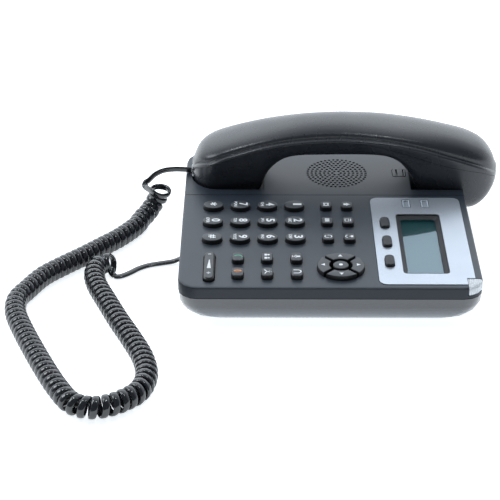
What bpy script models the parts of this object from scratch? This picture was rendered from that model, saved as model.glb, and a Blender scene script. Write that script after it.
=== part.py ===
"""Desk IP phone: keypad on the right, display at the far right, handset in a cradle on the left.

Frame: +X is the user's right, +Y points away from the user, +Z is up. The origin is on the
table, under the middle of the phone's box without its cord. Lengths are metres, written as
millimetres * MM.
"""

import math

import bmesh
import bpy
from mathutils import Matrix, Vector

MM = 0.001
GAP = 0.3 * MM  # left between pieces that touch

# Base
BASE_X = (-97.0 * MM, 92.5 * MM)
BASE_Y = (-95.6 * MM, 97.3 * MM)
KEYPAD_CORNER_RADIUS = 12.5 * MM
CRADLE_CORNER_RADIUS = 15.0 * MM
WALL = 2.0 * MM
SHELL_BOTTOM_Z = 1.6 * MM
SEAM_Z = 20.8 * MM
PANEL_Z = 29.0 * MM
PANEL_THICKNESS = 2.2 * MM
TUB_INSET = 10.0 * MM  # how far the lower shell's foot is inside its rim
FOOT_ROUNDING = 1.0  # growth of the corners' radius for each unit of inset, towards the foot
EDGE_ROUND = 1.6 * MM
SPLIT_X = -31.0 * MM  # groove between the keypad cover and the cradle cover

# Handset, lying along Y at the user's left
HANDSET_X = -64.0 * MM
HANDSET_HALF_WIDTH = 24.5 * MM
HANDSET_NEAR_Y = -90.8 * MM  # microphone end
HANDSET_FAR_Y = 122.4 * MM  # receiver end, past the base
HANDSET_WALL = 2.2 * MM
GRIP_WAIST = 2.6 * MM  # how much narrower each side of the grip is
GRIP_MIDDLE_Y = -4.0 * MM
GRIP_REACH = 78.0 * MM
BACK_POWER = 2.25  # of the superellipse across the handset's back
FACE_POWER = 3.4

# Places are given from the middle of the panel. Along Y the phone's box runs past the base to the
# handset's far end, and along X the base reaches further behind the handset.
PANEL_PLACE = (-(BASE_X[0] + BASE_X[1]) / 2, -(HANDSET_FAR_Y + BASE_Y[0]) / 2, 0)

# Cradle
PAN_HALF_WIDTH = HANDSET_HALF_WIDTH + 0.7 * MM
PAN_WALL = 1.6 * MM
PAN_CLEARANCE = 0.35 * MM  # between the pans and the lower shell round them
MIC_PAN_Z = 17.9 * MM
MIC_PAN_Y = (-92.2 * MM, -40.6 * MM)
EAR_PAN_START_Y = 61.0 * MM
EAR_FACE_Z = 20.5 * MM  # the receiver's face at its near end
EAR_FACE_Y = 66.5 * MM
EAR_FACE_SLOPE = -0.373
HOOK_Y = -60.0 * MM  # the hook switch's plunger
TAB_SIZE = (10.6 * MM, 9.2 * MM)
TAB_PLACE = (HANDSET_X, 54.3 * MM)
TAB_RADIUS = 1.2 * MM

# Keys
KEY_HOLE_GAP = 0.35 * MM
KEY_EDGE = 0.8 * MM  # slope round a key's top
SMALL_KEY_RADIUS = 2.2 * MM
FLANGE_GROW = 0.9 * MM
FLANGE_Z = (24.6 * MM, 26.3 * MM)
DIAL_TOP_Z = 32.0 * MM
DIAL_SIZE = (11.3 * MM, 13.4 * MM)
DIAL_ROWS_X = [-12.0 * MM, 10.3 * MM, 32.4 * MM]
DIAL_COLUMNS_Y = [-75.0 * MM, -56.8 * MM, -38.6 * MM, -20.3 * MM]
DIAL_NAMES = [["star", "7", "4", "1"], ["0", "8", "5", "2"], ["hash", "9", "6", "3"]]
CALL_SIZE = (10.4 * MM, 7.2 * MM)
CALL_ROWS_X = [58.2 * MM, 77.2 * MM]
CALL_COLUMNS_Y = [-57.8 * MM, -39.1 * MM, -20.2 * MM]
CALL_NAMES = [["answer", "conference", "mute"], ["end", "transfer", "hold"]]
FEATURE_SIZE = (8.8 * MM, 7.2 * MM)
FEATURE_ROWS_X = [-12.0 * MM, 10.0 * MM, 32.0 * MM]
FEATURE_COLUMNS_Y = [1.2 * MM, 15.2 * MM]
FEATURE_NAMES = [["menu", "speaker"], ["message", "phonebook"], ["redial", "headset"]]
VOLUME_SIZE = (34.6 * MM, 6.8 * MM)
VOLUME_PLACE = (68.0 * MM, -76.0 * MM)
VOLUME_PIVOT_Z = 25.4 * MM
VOLUME_TOP_Z = 31.6 * MM
VOLUME_RADIUS = 3.2 * MM
VOLUME_NECK_Z = 26.0 * MM
VOLUME_EDGE = 1.0 * MM
NAV_PLACE = (68.4 * MM, 7.9 * MM)
NAV_OUTER = 15.0 * MM
NAV_INNER = 7.4 * MM
NAV_SPLIT = 2.2 * MM
NAV_TOP_Z = 31.2 * MM
NAV_BUTTON_RADIUS = 5.1 * MM
SOFT_SIZE = (13.0 * MM, 5.9 * MM)
SOFT_TOP_Z = 31.4 * MM
SOFT_RADIUS = 2.6 * MM
SOFT_ROWS_X = [10.2 * MM, 35.4 * MM, 60.6 * MM]
SOFT_Y = 39.6 * MM

# Display
BEZEL_X = (-26.4 * MM, 88.2 * MM)
BEZEL_Y = (31.6 * MM, 92.4 * MM)
BEZEL_TOP_Z = 29.4 * MM
BEZEL_THICKNESS = 0.9 * MM
BEZEL_RADIUS = 5.0 * MM
POCKET_Z = 28.2 * MM
SCREEN_X = (-3.3 * MM, 75.2 * MM)
SCREEN_Y = (47.5 * MM, 77.1 * MM)
SCREEN_SLANT = 2.6 * MM  # how far each dark wall leans in
LINE_LIGHTS_Y = [56.0 * MM, 68.6 * MM]
LINE_LIGHT_X = -18.2 * MM
LINE_LIGHT_SIZE = (11.6 * MM, 5.2 * MM)
LINE_LIGHT_RADIUS = 1.6 * MM
LENS_CORNER = (80.8 * MM, 87.4 * MM, 23.4 * MM)  # inner corner of the message light

# Sockets
CORD_SOCKET_X = 13.0 * MM
CORD_PLUG_Z = 8.0 * MM
CORD_POCKET_END_Y = -80.0 * MM
PLUG_SIZE = (7.6 * MM, 11.6 * MM, 6.4 * MM)
HANDSET_PLUG_Y = -91.4 * MM  # where its cord leaves it
HANDSET_PLUG_Z = 31.2 * MM
BASE_PLUG_Y = -85.3 * MM
SOCKET_WINDOW_GAP = 0.4 * MM
SOCKETS_Z = (7.0 * MM, 18.4 * MM)
SOCKETS_Y = (77.0 * MM, 93.7 * MM)
NETWORK_X = (20.0 * MM, 51.0 * MM)
POWER_X = (0.0, 10.0 * MM)

# Curly cord
LEAD_THICKNESS = 2.6 * MM
LEAD_SPACING = 4.2 * MM  # between rings along a lead
COIL_RADIUS = 6.5 * MM
COIL_SPACING = 9.0 * MM

HANDSET_LEAD_ROUTE = [
    (-64, -92, 31.2), (-64, -97.5, 31.6), (-63.8, -104, 31.8), (-63.2, -111.5, 31),
    (-62, -117.6, 28.4), (-60.2, -121.9, 24.8), (-57.2, -124.2, 21.2), (-52.4, -123.6, 19.2),
]
COIL_ROUTE = [
    (-51.3, -114.1, 19.4), (-51.1, -115, 16), (-50.4, -116.4, 13), (-47.4, -118.8, 10.4),
    (-41.5, -122.2, 8.3), (-34.7, -125.8, 7.1), (-27, -130.2, 6.6), (-13, -140.5, 6.6),
    (-2, -150.5, 6.6), (10.5, -163, 6.6), (22.5, -176, 6.6), (38, -188, 6.6),
    (55, -197, 6.6), (72, -200.6, 6.6), (88, -199.4, 6.6), (109, -192.2, 6.6), (132, -182.6, 6.6),
    (153, -173, 6.6), (171, -163.8, 6.6), (184.6, -153.8, 6.6), (190, -143, 6.6),
    (188.6, -132.6, 6.6), (182, -123.2, 6.6), (172, -115.4, 6.6), (156.5, -112.4, 6.6),
    (137.5, -115, 6.6), (115.5, -122.4, 6.6), (93.5, -131.6, 6.6), (72.5, -140, 6.6),
    (53, -148, 6.6), (40, -152, 6.6), (30, -151.6, 6.6), (25.6, -147, 6.6), (26.4, -141.6, 6.6),
]
BASE_LEAD_ROUTE = [
    (34.2, -138.4, 1.3), (30, -132.6, 1.3), (24, -127, 1.3), (18.6, -119, 1.3), (15.4, -110, 1.4),
    (13.6, -102, 1.9), (13, -96, 4.4), (13, -91, 7.2), (13, -88.5, 7.9), (13, -86, 8),
]


# --- scene and materials -------------------------------------------------------------------


def clear_scene():
    for obj in list(bpy.data.objects):
        bpy.data.objects.remove(obj, do_unlink=True)


def collection(name):
    made = bpy.data.collections.new(name)
    bpy.context.scene.collection.children.link(made)
    return made


def material(name, colour, roughness, metallic=0.0, alpha=1.0):
    made = bpy.data.materials.new(name)
    made.use_nodes = True
    shader = made.node_tree.nodes["Principled BSDF"]
    shader.inputs["Base Color"].default_value = (*colour, 1.0)
    shader.inputs["Roughness"].default_value = roughness
    shader.inputs["Metallic"].default_value = metallic
    shader.inputs["Alpha"].default_value = alpha
    return made


def place(name, mesh, at=(0, 0, 0), look=None, group=None):
    """A named object at a point given from the middle of the panel."""
    obj = bpy.data.objects.new(name, mesh)
    (group or PARTS).objects.link(obj)
    obj.parent = PANEL_MIDDLE
    obj.location = at
    if look:
        mesh.materials.append(look)
    return obj


def boolean(target, other, operation):
    step = target.modifiers.new(other.name, "BOOLEAN")
    step.operation = operation
    step.solver = "EXACT"
    step.object = other
    return step


# --- outlines and lofts --------------------------------------------------------------------


def rounded_rect(width, depth, radius, steps=3, centre=(0.0, 0.0)):
    """Corner points of a rounded rectangle, anticlockwise from its +X side."""
    radius = min(radius, 0.48 * min(width, depth))
    points = []
    for turn, (sx, sy) in enumerate([(1, 1), (-1, 1), (-1, -1), (1, -1)]):
        cx = centre[0] + sx * (width / 2 - radius)
        cy = centre[1] + sy * (depth / 2 - radius)
        for step in range(steps + 1):
            angle = math.pi / 2 * (turn + step / steps)
            points.append((cx + radius * math.cos(angle), cy + radius * math.sin(angle)))
    return points


def oval(width, depth, count=16):
    return [
        (width / 2 * math.cos(2 * math.pi * i / count), depth / 2 * math.sin(2 * math.pi * i / count))
        for i in range(count)
    ]


def ring_sector(inner, outer, middle, split, steps=5):
    """A quarter of a ring about the direction `middle`, with half of `split` cut off each side."""
    points = []
    for radius, order in ((outer, 1), (inner, -1)):
        half = math.pi / 4 - math.asin(split / 2 / radius)
        for i in range(steps + 1):
            angle = middle + order * half * (2 * i / steps - 1)
            points.append((radius * math.cos(angle), radius * math.sin(angle)))
    return points


def at_height(outline, z):
    return [Vector((x, y, z)) for x, y in outline]


def loft_mesh(name, rings, cap_last=True):
    """Quads between rings of equal point counts; the first ring is filled, the last one if wanted."""
    bm = bmesh.new()
    rows = [[bm.verts.new(point) for point in ring] for ring in rings]
    count = len(rings[0])
    for low, high in zip(rows, rows[1:]):
        for i in range(count):
            j = (i + 1) % count
            bm.faces.new((low[i], low[j], high[j], high[i]))
    bm.faces.new(list(reversed(rows[0])))
    if cap_last:
        bm.faces.new(rows[-1])
    bmesh.ops.recalc_face_normals(bm, faces=bm.faces)
    mesh = bpy.data.meshes.new(name)
    bm.to_mesh(mesh)
    bm.free()
    return mesh


def joined_prisms(name, outlines, low, high):
    """One mesh that holds an upright prism for each outline."""
    bm = bmesh.new()
    for outline in outlines:
        bottom = [bm.verts.new((x, y, low)) for x, y in outline]
        top = [bm.verts.new((x, y, high)) for x, y in outline]
        for i in range(len(outline)):
            j = (i + 1) % len(outline)
            bm.faces.new((bottom[i], bottom[j], top[j], top[i]))
        bm.faces.new(list(reversed(bottom)))
        bm.faces.new(top)
    bmesh.ops.recalc_face_normals(bm, faces=bm.faces)
    mesh = bpy.data.meshes.new(name)
    bm.to_mesh(mesh)
    bm.free()
    return mesh


def block_mesh(name, x, y, z):
    """A box between the limits given for each axis."""
    bm = bmesh.new()
    bmesh.ops.create_cube(bm, size=1.0)
    size = Vector((x[1] - x[0], y[1] - y[0], z[1] - z[0]))
    middle = Vector((x[0] + x[1], y[0] + y[1], z[0] + z[1])) / 2
    bmesh.ops.transform(bm, matrix=Matrix.Translation(middle) @ Matrix.Diagonal((*size, 1)), verts=bm.verts)
    mesh = bpy.data.meshes.new(name)
    bm.to_mesh(mesh)
    bm.free()
    return mesh


def cylinder_mesh(name, radius, depth, count=24):
    bm = bmesh.new()
    bmesh.ops.create_cone(
        bm, cap_ends=True, segments=count, radius1=radius, radius2=radius, depth=depth
    )
    mesh = bpy.data.meshes.new(name)
    bm.to_mesh(mesh)
    bm.free()
    return mesh


def cutter(name, mesh, at=(0, 0, 0)):
    """A body used only to cut or fill another one."""
    obj = place(name, mesh, at, group=CUTTERS)
    obj.hide_render = True
    obj.display_type = "WIRE"
    return obj


def turned(name, profile, at, look, steps=20):
    """A round piece about Z: the profile runs from its top on the axis down its outer side."""
    mesh = bpy.data.meshes.new(name)
    bm = bmesh.new()
    row = [bm.verts.new((x, 0.0, z)) for x, z in profile]
    for a, b in zip(row, row[1:]):
        bm.edges.new((a, b))
    bm.to_mesh(mesh)
    bm.free()
    obj = place(name, mesh, at, look)
    screw = obj.modifiers.new("turn", "SCREW")
    screw.steps = steps
    screw.render_steps = steps
    screw.use_merge_vertices = True
    screw.merge_threshold = 0.00001
    return obj


# --- base ----------------------------------------------------------------------------------


def base_outline(inset, rounding=-0.1):
    """The base from above, moved in all round; the corners beside the cradle are rounder.

    A corner's radius changes by `rounding` for each unit of inset.
    """
    points = []
    steps = 4
    for turn, (sx, sy) in enumerate([(1, 1), (-1, 1), (-1, -1), (1, -1)]):
        radius = (KEYPAD_CORNER_RADIUS if sx > 0 else CRADLE_CORNER_RADIUS) + inset * rounding
        cx = BASE_X[max(sx, 0)] - sx * (inset + radius)
        cy = BASE_Y[max(sy, 0)] - sy * (inset + radius)
        for step in range(steps + 1):
            angle = math.pi / 2 * (turn + step / steps)
            points.append((cx + radius * math.cos(angle), cy + radius * math.sin(angle)))
    return points


def lid_rings(lowest):
    """The upper casing's outer surface: upright sides, a rounded edge and the flat panel."""
    rings = [at_height(base_outline(0), lowest)]
    for step in range(3):
        angle = math.pi / 2 * step / 2
        inset = EDGE_ROUND * (1 - math.cos(angle))
        rings.append(at_height(base_outline(inset), PANEL_Z - EDGE_ROUND * (1 - math.sin(angle))))
    return rings


def lid_shell(name, look):
    """The whole upper casing as a hollow shell, open below."""
    shell = place(name, loft_mesh(name, lid_rings(SEAM_Z + GAP)), look=look)
    inner = base_outline(PANEL_THICKNESS)
    rings = [at_height(inner, SEAM_Z - 2 * MM), at_height(inner, PANEL_Z - PANEL_THICKNESS)]
    hollow = cutter(name + "_hollow", loft_mesh(name + "_hollow", rings))
    boolean(shell, hollow, "DIFFERENCE")
    return shell


def tub_rings():
    """The lower shell's side, a quarter ellipse from its foot up to its rim."""
    rings = []
    steps = 5
    for step in range(steps + 1):
        angle = math.pi / 2 * (1 - step / steps)
        inset = TUB_INSET * (1 - math.cos(angle))
        z = SEAM_Z - (SEAM_Z - SHELL_BOTTOM_Z) * math.sin(angle)
        rings.append(at_height(base_outline(inset, FOOT_ROUNDING), z))
    return rings


def pan_floor_z(y):
    """The floor of the receiver's pan, just under the receiver's slanting face."""
    return EAR_FACE_Z + EAR_FACE_SLOPE * (y - EAR_FACE_Y) - 0.6 * MM


def ear_pan_mesh(name, start, end, grow, top):
    """A trough with a slanting floor and rounded lower corners, `grow` bigger than the pan."""
    half = PAN_HALF_WIDTH + grow
    rings = []
    for y in (start - grow, end):
        floor = pan_floor_z(y) - grow
        radius = 0.8 * (PANEL_Z - 1 * MM - pan_floor_z(y)) + grow
        ring = [Vector((half, y, top))]
        for side, order in ((1, range(0, 5)), (-1, range(4, -1, -1))):
            for step in order:
                angle = math.pi / 2 * step / 4
                x = side * (half - radius + radius * math.cos(angle))
                ring.append(Vector((x, y, floor + radius * (1 - math.sin(angle)))))
        ring.append(Vector((-half, y, top)))
        rings.append([point + Vector((HANDSET_X, 0, 0)) for point in ring])
    return loft_mesh(name, rings)


def mic_pan_outline(grow):
    """Round at the cord's end, square at the other."""
    half = PAN_HALF_WIDTH + grow
    near, far = MIC_PAN_Y[0] - grow, MIC_PAN_Y[1] + grow
    reach = 19.0 * MM + grow
    points = [(HANDSET_X + half, far), (HANDSET_X - half, far)]
    steps = 12
    for step in range(steps + 1):
        angle = math.pi + math.pi * step / steps
        points.append((HANDSET_X + half * math.cos(angle), near + reach + reach * math.sin(angle)))
    return points


def lower_shell():
    tub = place("lower_shell", loft_mesh("lower_shell", tub_rings(), cap_last=False), look=SHELL_GREY)
    solid = tub.modifiers.new("wall", "SOLIDIFY")
    solid.thickness = WALL
    solid.offset = -1
    solid.use_even_offset = True

    grow = PAN_WALL + PAN_CLEARANCE
    ear_cut = ear_pan_mesh("ear_room", EAR_PAN_START_Y, 100 * MM, grow, 40 * MM)
    boolean(tub, cutter("ear_room", ear_cut), "DIFFERENCE")
    mic_cut = joined_prisms("mic_room", [mic_pan_outline(grow)], MIC_PAN_Z - grow, 40 * MM)
    boolean(tub, cutter("mic_room", mic_cut), "DIFFERENCE")

    # The handset cord's pocket opens downwards and to the front, with a window to its socket.
    x, end = CORD_SOCKET_X, CORD_POCKET_END_Y
    pocket = block_mesh(
        "cord_pocket_walls", (x - 9.6 * MM, x + 9.6 * MM), (-93.2 * MM, end + 2 * MM), (1.7 * MM, 14.6 * MM)
    )
    boolean(tub, cutter("cord_pocket_walls", pocket), "UNION")
    room = block_mesh("cord_pocket_room", (x - 7.6 * MM, x + 7.6 * MM), (-100 * MM, end), (-1 * MM, 12.6 * MM))
    boolean(tub, cutter("cord_pocket_room", room), "DIFFERENCE")
    window = block_mesh(
        "cord_window", (x - 5 * MM, x + 5 * MM), (end - 1 * MM, end + 3 * MM), (4.4 * MM, 11.8 * MM)
    )
    boolean(tub, cutter("cord_window", window), "DIFFERENCE")

    gap = SOCKET_WINDOW_GAP
    low, high = SOCKETS_Z[0] - gap, SOCKETS_Z[1] + gap
    for name, limits in (("network_window", NETWORK_X), ("power_window", POWER_X)):
        hole = block_mesh(name, (limits[0] - gap, limits[1] + gap), (86 * MM, 100 * MM), (low, high))
        boolean(tub, cutter(name, hole), "DIFFERENCE")
    return tub


def lens_box(name, grow):
    x, y, z = LENS_CORNER
    return block_mesh(name, (x - grow, 96 * MM), (y - grow, 99 * MM), (z - grow, 32 * MM))


def keypad_cover(key_holes):
    """The panel right of the groove, with the keys' holes and the sunk display frame."""
    cover = lid_shell("keypad_cover", PANEL_GREY)
    away = block_mesh("cradle_side", (-100 * MM, SPLIT_X + 0.25 * MM), (-110 * MM, 110 * MM), (10 * MM, 40 * MM))
    boolean(cover, cutter("cradle_side", away), "DIFFERENCE")

    middle = ((BEZEL_X[0] + BEZEL_X[1]) / 2, (BEZEL_Y[0] + BEZEL_Y[1]) / 2)
    sunk = rounded_rect(
        BEZEL_X[1] - BEZEL_X[0] + 2 * GAP, BEZEL_Y[1] - BEZEL_Y[0] + 2 * GAP, BEZEL_RADIUS + GAP, 3, middle
    )
    boolean(cover, cutter("bezel_seat", joined_prisms("bezel_seat", [sunk], POCKET_Z, 32 * MM)), "DIFFERENCE")

    screen_middle = ((SCREEN_X[0] + SCREEN_X[1]) / 2, (SCREEN_Y[0] + SCREEN_Y[1]) / 2)
    rings = []
    for inset, z in ((SCREEN_SLANT + 0.2 * MM, 26.7 * MM), (-0.2 * MM, 28.4 * MM), (-0.2 * MM, 32 * MM)):
        outline = rounded_rect(
            SCREEN_X[1] - SCREEN_X[0] - 2 * inset, SCREEN_Y[1] - SCREEN_Y[0] - 2 * inset, 2 * MM, 2, screen_middle
        )
        rings.append(at_height(outline, z))
    boolean(cover, cutter("screen_well", loft_mesh("screen_well", rings)), "DIFFERENCE")

    holes = joined_prisms("key_holes", key_holes + line_light_outlines(GAP), 25.5 * MM, 33 * MM)
    boolean(cover, cutter("key_holes", holes), "DIFFERENCE")
    boolean(cover, cutter("lens_room", lens_box("lens_room", GAP)), "DIFFERENCE")
    return cover


def cradle_cover():
    """The casing left of the groove, with the two pans that the handset lies in."""
    cover = lid_shell("cradle_cover", CRADLE_GREY)
    away = block_mesh("keypad_side", (SPLIT_X - 0.25 * MM, 100 * MM), (-110 * MM, 110 * MM), (10 * MM, 40 * MM))
    boolean(cover, cutter("keypad_side", away), "DIFFERENCE")

    top = PANEL_Z - 1.0 * MM
    ear = ear_pan_mesh("ear_pan_walls", EAR_PAN_START_Y, BASE_Y[1] - 0.4 * MM, PAN_WALL, top)
    boolean(cover, cutter("ear_pan_walls", ear), "UNION")
    mic = joined_prisms("mic_pan_walls", [mic_pan_outline(PAN_WALL)], MIC_PAN_Z - PAN_WALL, top)
    boolean(cover, cutter("mic_pan_walls", mic), "UNION")
    ear = ear_pan_mesh("ear_pan_room", EAR_PAN_START_Y, 100 * MM, 0, 40 * MM)
    boolean(cover, cutter("ear_pan_room", ear), "DIFFERENCE")
    mic = joined_prisms("mic_pan_room", [mic_pan_outline(0)], MIC_PAN_Z, 40 * MM)
    boolean(cover, cutter("mic_pan_room", mic), "DIFFERENCE")

    # The receiver's pan reaches a rounded corner, which trims it.
    outline = joined_prisms("base_outline", [base_outline(-0.03 * MM)], 0, 40 * MM)
    boolean(cover, cutter("base_outline", outline), "INTERSECT")

    slot = cylinder_mesh("hook_hole", 4.2 * MM, 10 * MM, 16)
    boolean(cover, cutter("hook_hole", slot, (HANDSET_X, HOOK_Y, MIC_PAN_Z)), "DIFFERENCE")
    tab = rounded_rect(TAB_SIZE[0] + 2 * GAP, TAB_SIZE[1] + 2 * GAP, TAB_RADIUS, 2, TAB_PLACE)
    boolean(cover, cutter("tab_slot", joined_prisms("tab_slot", [tab], 25 * MM, 32 * MM)), "DIFFERENCE")
    return cover


def message_light():
    """The ribbed clear corner: the casing's own corner, cut out of its outer form."""
    form = loft_mesh("message_light_lens", lid_rings(SEAM_Z + GAP))
    lens = place("message_light_lens", form, look=CLEAR)
    boolean(lens, cutter("lens_corner", lens_box("lens_corner", 0)), "INTERSECT")
    return lens


# --- display -------------------------------------------------------------------------------


def line_light_outlines(grow):
    return [
        rounded_rect(
            LINE_LIGHT_SIZE[0] + 2 * grow, LINE_LIGHT_SIZE[1] + 2 * grow, LINE_LIGHT_RADIUS, 2, (LINE_LIGHT_X, y)
        )
        for y in LINE_LIGHTS_Y
    ]


def soft_outline(x, grow):
    return rounded_rect(SOFT_SIZE[0] + 2 * grow, SOFT_SIZE[1] + 2 * grow, SOFT_RADIUS, 3, (x, SOFT_Y))


def display_bezel():
    middle = ((BEZEL_X[0] + BEZEL_X[1]) / 2, (BEZEL_Y[0] + BEZEL_Y[1]) / 2)
    outline = rounded_rect(BEZEL_X[1] - BEZEL_X[0], BEZEL_Y[1] - BEZEL_Y[0], BEZEL_RADIUS, 3, middle)
    mesh = joined_prisms("display_bezel", [outline], BEZEL_TOP_Z - BEZEL_THICKNESS, BEZEL_TOP_Z)
    bezel = place("display_bezel", mesh, look=SILVER)
    screen_middle = ((SCREEN_X[0] + SCREEN_X[1]) / 2, (SCREEN_Y[0] + SCREEN_Y[1]) / 2)
    screen = rounded_rect(SCREEN_X[1] - SCREEN_X[0], SCREEN_Y[1] - SCREEN_Y[0], 2.4 * MM, 3, screen_middle)
    outlines = [screen] + [soft_outline(x, KEY_HOLE_GAP) for x in SOFT_ROWS_X] + line_light_outlines(GAP)
    boolean(bezel, cutter("bezel_holes", joined_prisms("bezel_holes", outlines, 27 * MM, 31 * MM)), "DIFFERENCE")
    boolean(bezel, cutter("bezel_lens_room", lens_box("bezel_lens_room", GAP)), "DIFFERENCE")
    return bezel


def display_stack():
    """The clear window under the frame, the liquid-crystal module, and the line lights' guide."""
    x, y = SCREEN_X, SCREEN_Y
    window = block_mesh(
        "display_window", (x[0] - 0.6 * MM, x[1] + 0.6 * MM), (y[0] - 0.6 * MM, y[1] + 0.6 * MM), (25.4 * MM, 26.4 * MM)
    )
    place("display_window", window, look=CLEAR)
    module = block_mesh(
        "lcd_module", (x[0] - 2 * MM, x[1] + 2 * MM), (y[0] - 0.6 * MM, y[1] + 2 * MM), (21.2 * MM, 25 * MM)
    )
    place("lcd_module", module, look=LCD_TEAL)

    guide = place(
        "line_light_guide",
        joined_prisms("line_light_guide", [line_light_outlines(0)[0]], 25 * MM, BEZEL_TOP_Z - 0.1 * MM),
        look=CLEAR,
    )
    second = joined_prisms("second_light", [line_light_outlines(0)[1]], 25 * MM, BEZEL_TOP_Z - 0.1 * MM)
    boolean(guide, cutter("second_light", second), "UNION")
    bridge = block_mesh(
        "light_bridge", (LINE_LIGHT_X - 3 * MM, LINE_LIGHT_X + 3 * MM), LINE_LIGHTS_Y, (24.4 * MM, 26.2 * MM)
    )
    boolean(guide, cutter("light_bridge", bridge), "UNION")


# --- keys ----------------------------------------------------------------------------------


def key(name, outline_at, place_at, top):
    """A cap that stands through the panel, on a flange below it; its origin is on its travel axis."""
    rings = [
        at_height(outline_at(FLANGE_GROW), FLANGE_Z[0]),
        at_height(outline_at(FLANGE_GROW), FLANGE_Z[1]),
        at_height(outline_at(0), FLANGE_Z[1]),
        at_height(outline_at(0), top - KEY_EDGE),
        at_height(outline_at(-KEY_EDGE), top),
    ]
    place(name, loft_mesh(name, rings), (*place_at, 0), KEY_GREY)


def dial_keys():
    def outline(grow):
        return oval(DIAL_SIZE[0] + 2 * grow, DIAL_SIZE[1] + 2 * grow)

    holes = []
    for x, names in zip(DIAL_ROWS_X, DIAL_NAMES):
        for y, name in zip(DIAL_COLUMNS_Y, names):
            key("key_" + name, outline, (x, y), DIAL_TOP_Z)
            holes.append([(x + px, y + py) for px, py in outline(KEY_HOLE_GAP)])
    return holes


def small_keys(size, rows, columns, names):
    def outline(grow):
        return rounded_rect(size[0] + 2 * grow, size[1] + 2 * grow, SMALL_KEY_RADIUS, 2)

    holes = []
    for x, row in zip(rows, names):
        for y, name in zip(columns, row):
            key("key_" + name, outline, (x, y), DIAL_TOP_Z)
            holes.append([(x + px, y + py) for px, py in outline(KEY_HOLE_GAP)])
    return holes


def soft_keys():
    def outline(grow):
        return rounded_rect(SOFT_SIZE[0] + 2 * grow, SOFT_SIZE[1] + 2 * grow, SOFT_RADIUS, 3)

    for number, x in enumerate(SOFT_ROWS_X, 1):
        key(f"soft_key_{number}", outline, (x, SOFT_Y), SOFT_TOP_Z)
    return [soft_outline(x, KEY_HOLE_GAP) for x in SOFT_ROWS_X]


def volume_rocker():
    """A long bar that rocks about a short axis across its middle, below the panel."""
    def outline(grow):
        return rounded_rect(VOLUME_SIZE[0] + 2 * grow, VOLUME_SIZE[1] + 2 * grow, VOLUME_RADIUS, 3)

    neck, top = VOLUME_NECK_Z - VOLUME_PIVOT_Z, VOLUME_TOP_Z - VOLUME_PIVOT_Z
    rings = [
        at_height(outline(0), neck), at_height(outline(0), top - VOLUME_EDGE), at_height(outline(-VOLUME_EDGE), top)
    ]
    place_at = (*VOLUME_PLACE, VOLUME_PIVOT_Z)
    rocker = place("volume_rocker", loft_mesh("volume_rocker", rings), place_at, KEY_GREY)
    half = VOLUME_SIZE[1] / 2 + FLANGE_GROW
    foot = block_mesh("rocker_foot", (-5.5 * MM, 5.5 * MM), (-half, half), (-0.8 * MM, 0.9 * MM))
    boolean(rocker, cutter("rocker_foot", foot, place_at), "UNION")
    return [[(VOLUME_PLACE[0] + x, VOLUME_PLACE[1] + y) for x, y in outline(0.5 * MM)]]


def navigation_keys():
    """Four quarter-ring keys around a round one, all in one round hole."""
    quarters = {"nav_up": math.pi / 2, "nav_down": -math.pi / 2, "nav_left": math.pi, "nav_right": 0.0}
    for name, middle in quarters.items():
        def sector(outer_grow, inner_grow=0.0, turn=middle):
            return ring_sector(NAV_INNER + inner_grow, NAV_OUTER + outer_grow, turn, NAV_SPLIT + 2 * inner_grow)

        rings = [
            at_height(sector(FLANGE_GROW), FLANGE_Z[0]), at_height(sector(FLANGE_GROW), FLANGE_Z[1]),
            at_height(sector(0), FLANGE_Z[1]), at_height(sector(0), NAV_TOP_Z - KEY_EDGE),
            at_height(sector(-KEY_EDGE, 0.5 * MM), NAV_TOP_Z),
        ]
        place(name, loft_mesh(name, rings), (*NAV_PLACE, 0), KEY_GREY)

    def round_outline(grow):
        return oval(2 * (NAV_BUTTON_RADIUS + grow), 2 * (NAV_BUTTON_RADIUS + grow))

    key("nav_centre", round_outline, NAV_PLACE, NAV_TOP_Z)
    size = 2 * (NAV_OUTER + KEY_HOLE_GAP)
    return [[(NAV_PLACE[0] + x, NAV_PLACE[1] + y) for x, y in oval(size, size, 28)]]


# --- inside and underneath -----------------------------------------------------------------


def inner_pieces():
    board = block_mesh("main_circuit_board", (-27 * MM, 84 * MM), (-84 * MM, 84 * MM), (18.8 * MM, 20.4 * MM))
    place("main_circuit_board", board, look=BOARD_GREEN)
    mat = block_mesh("keypad_mat", (-21 * MM, 86 * MM), (-85 * MM, 44 * MM), (20.8 * MM, 22.2 * MM))
    place("keypad_mat", mat, look=RUBBER_BLACK)

    # Cone basket above, magnet below.
    turned(
        "loudspeaker",
        [
            (0, 25.8 * MM), (19 * MM, 25.8 * MM), (19 * MM, 23.6 * MM), (11 * MM, 18.6 * MM),
            (11 * MM, 13 * MM), (0, 13 * MM),
        ],
        (HANDSET_X, 10.5 * MM, 0),
        STEEL_GREY,
        24,
    )
    turned(
        "hook_switch_plunger",
        [
            (0, 17.6 * MM), (3.2 * MM, 17.6 * MM), (3.8 * MM, 17.0 * MM), (3.8 * MM, 10.6 * MM),
            (5.6 * MM, 10.6 * MM), (5.6 * MM, 9 * MM), (0, 9 * MM),
        ],
        (HANDSET_X, HOOK_Y, 0),
        KEY_GREY,
        16,
    )
    tab = rounded_rect(*TAB_SIZE, TAB_RADIUS, 2)
    place(
        "handset_hook_tab",
        joined_prisms("handset_hook_tab", [tab], PANEL_Z - 2.4 * MM, PANEL_Z + 0.2 * MM),
        (*TAB_PLACE, 0),
        CRADLE_GREY,
    )


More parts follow.
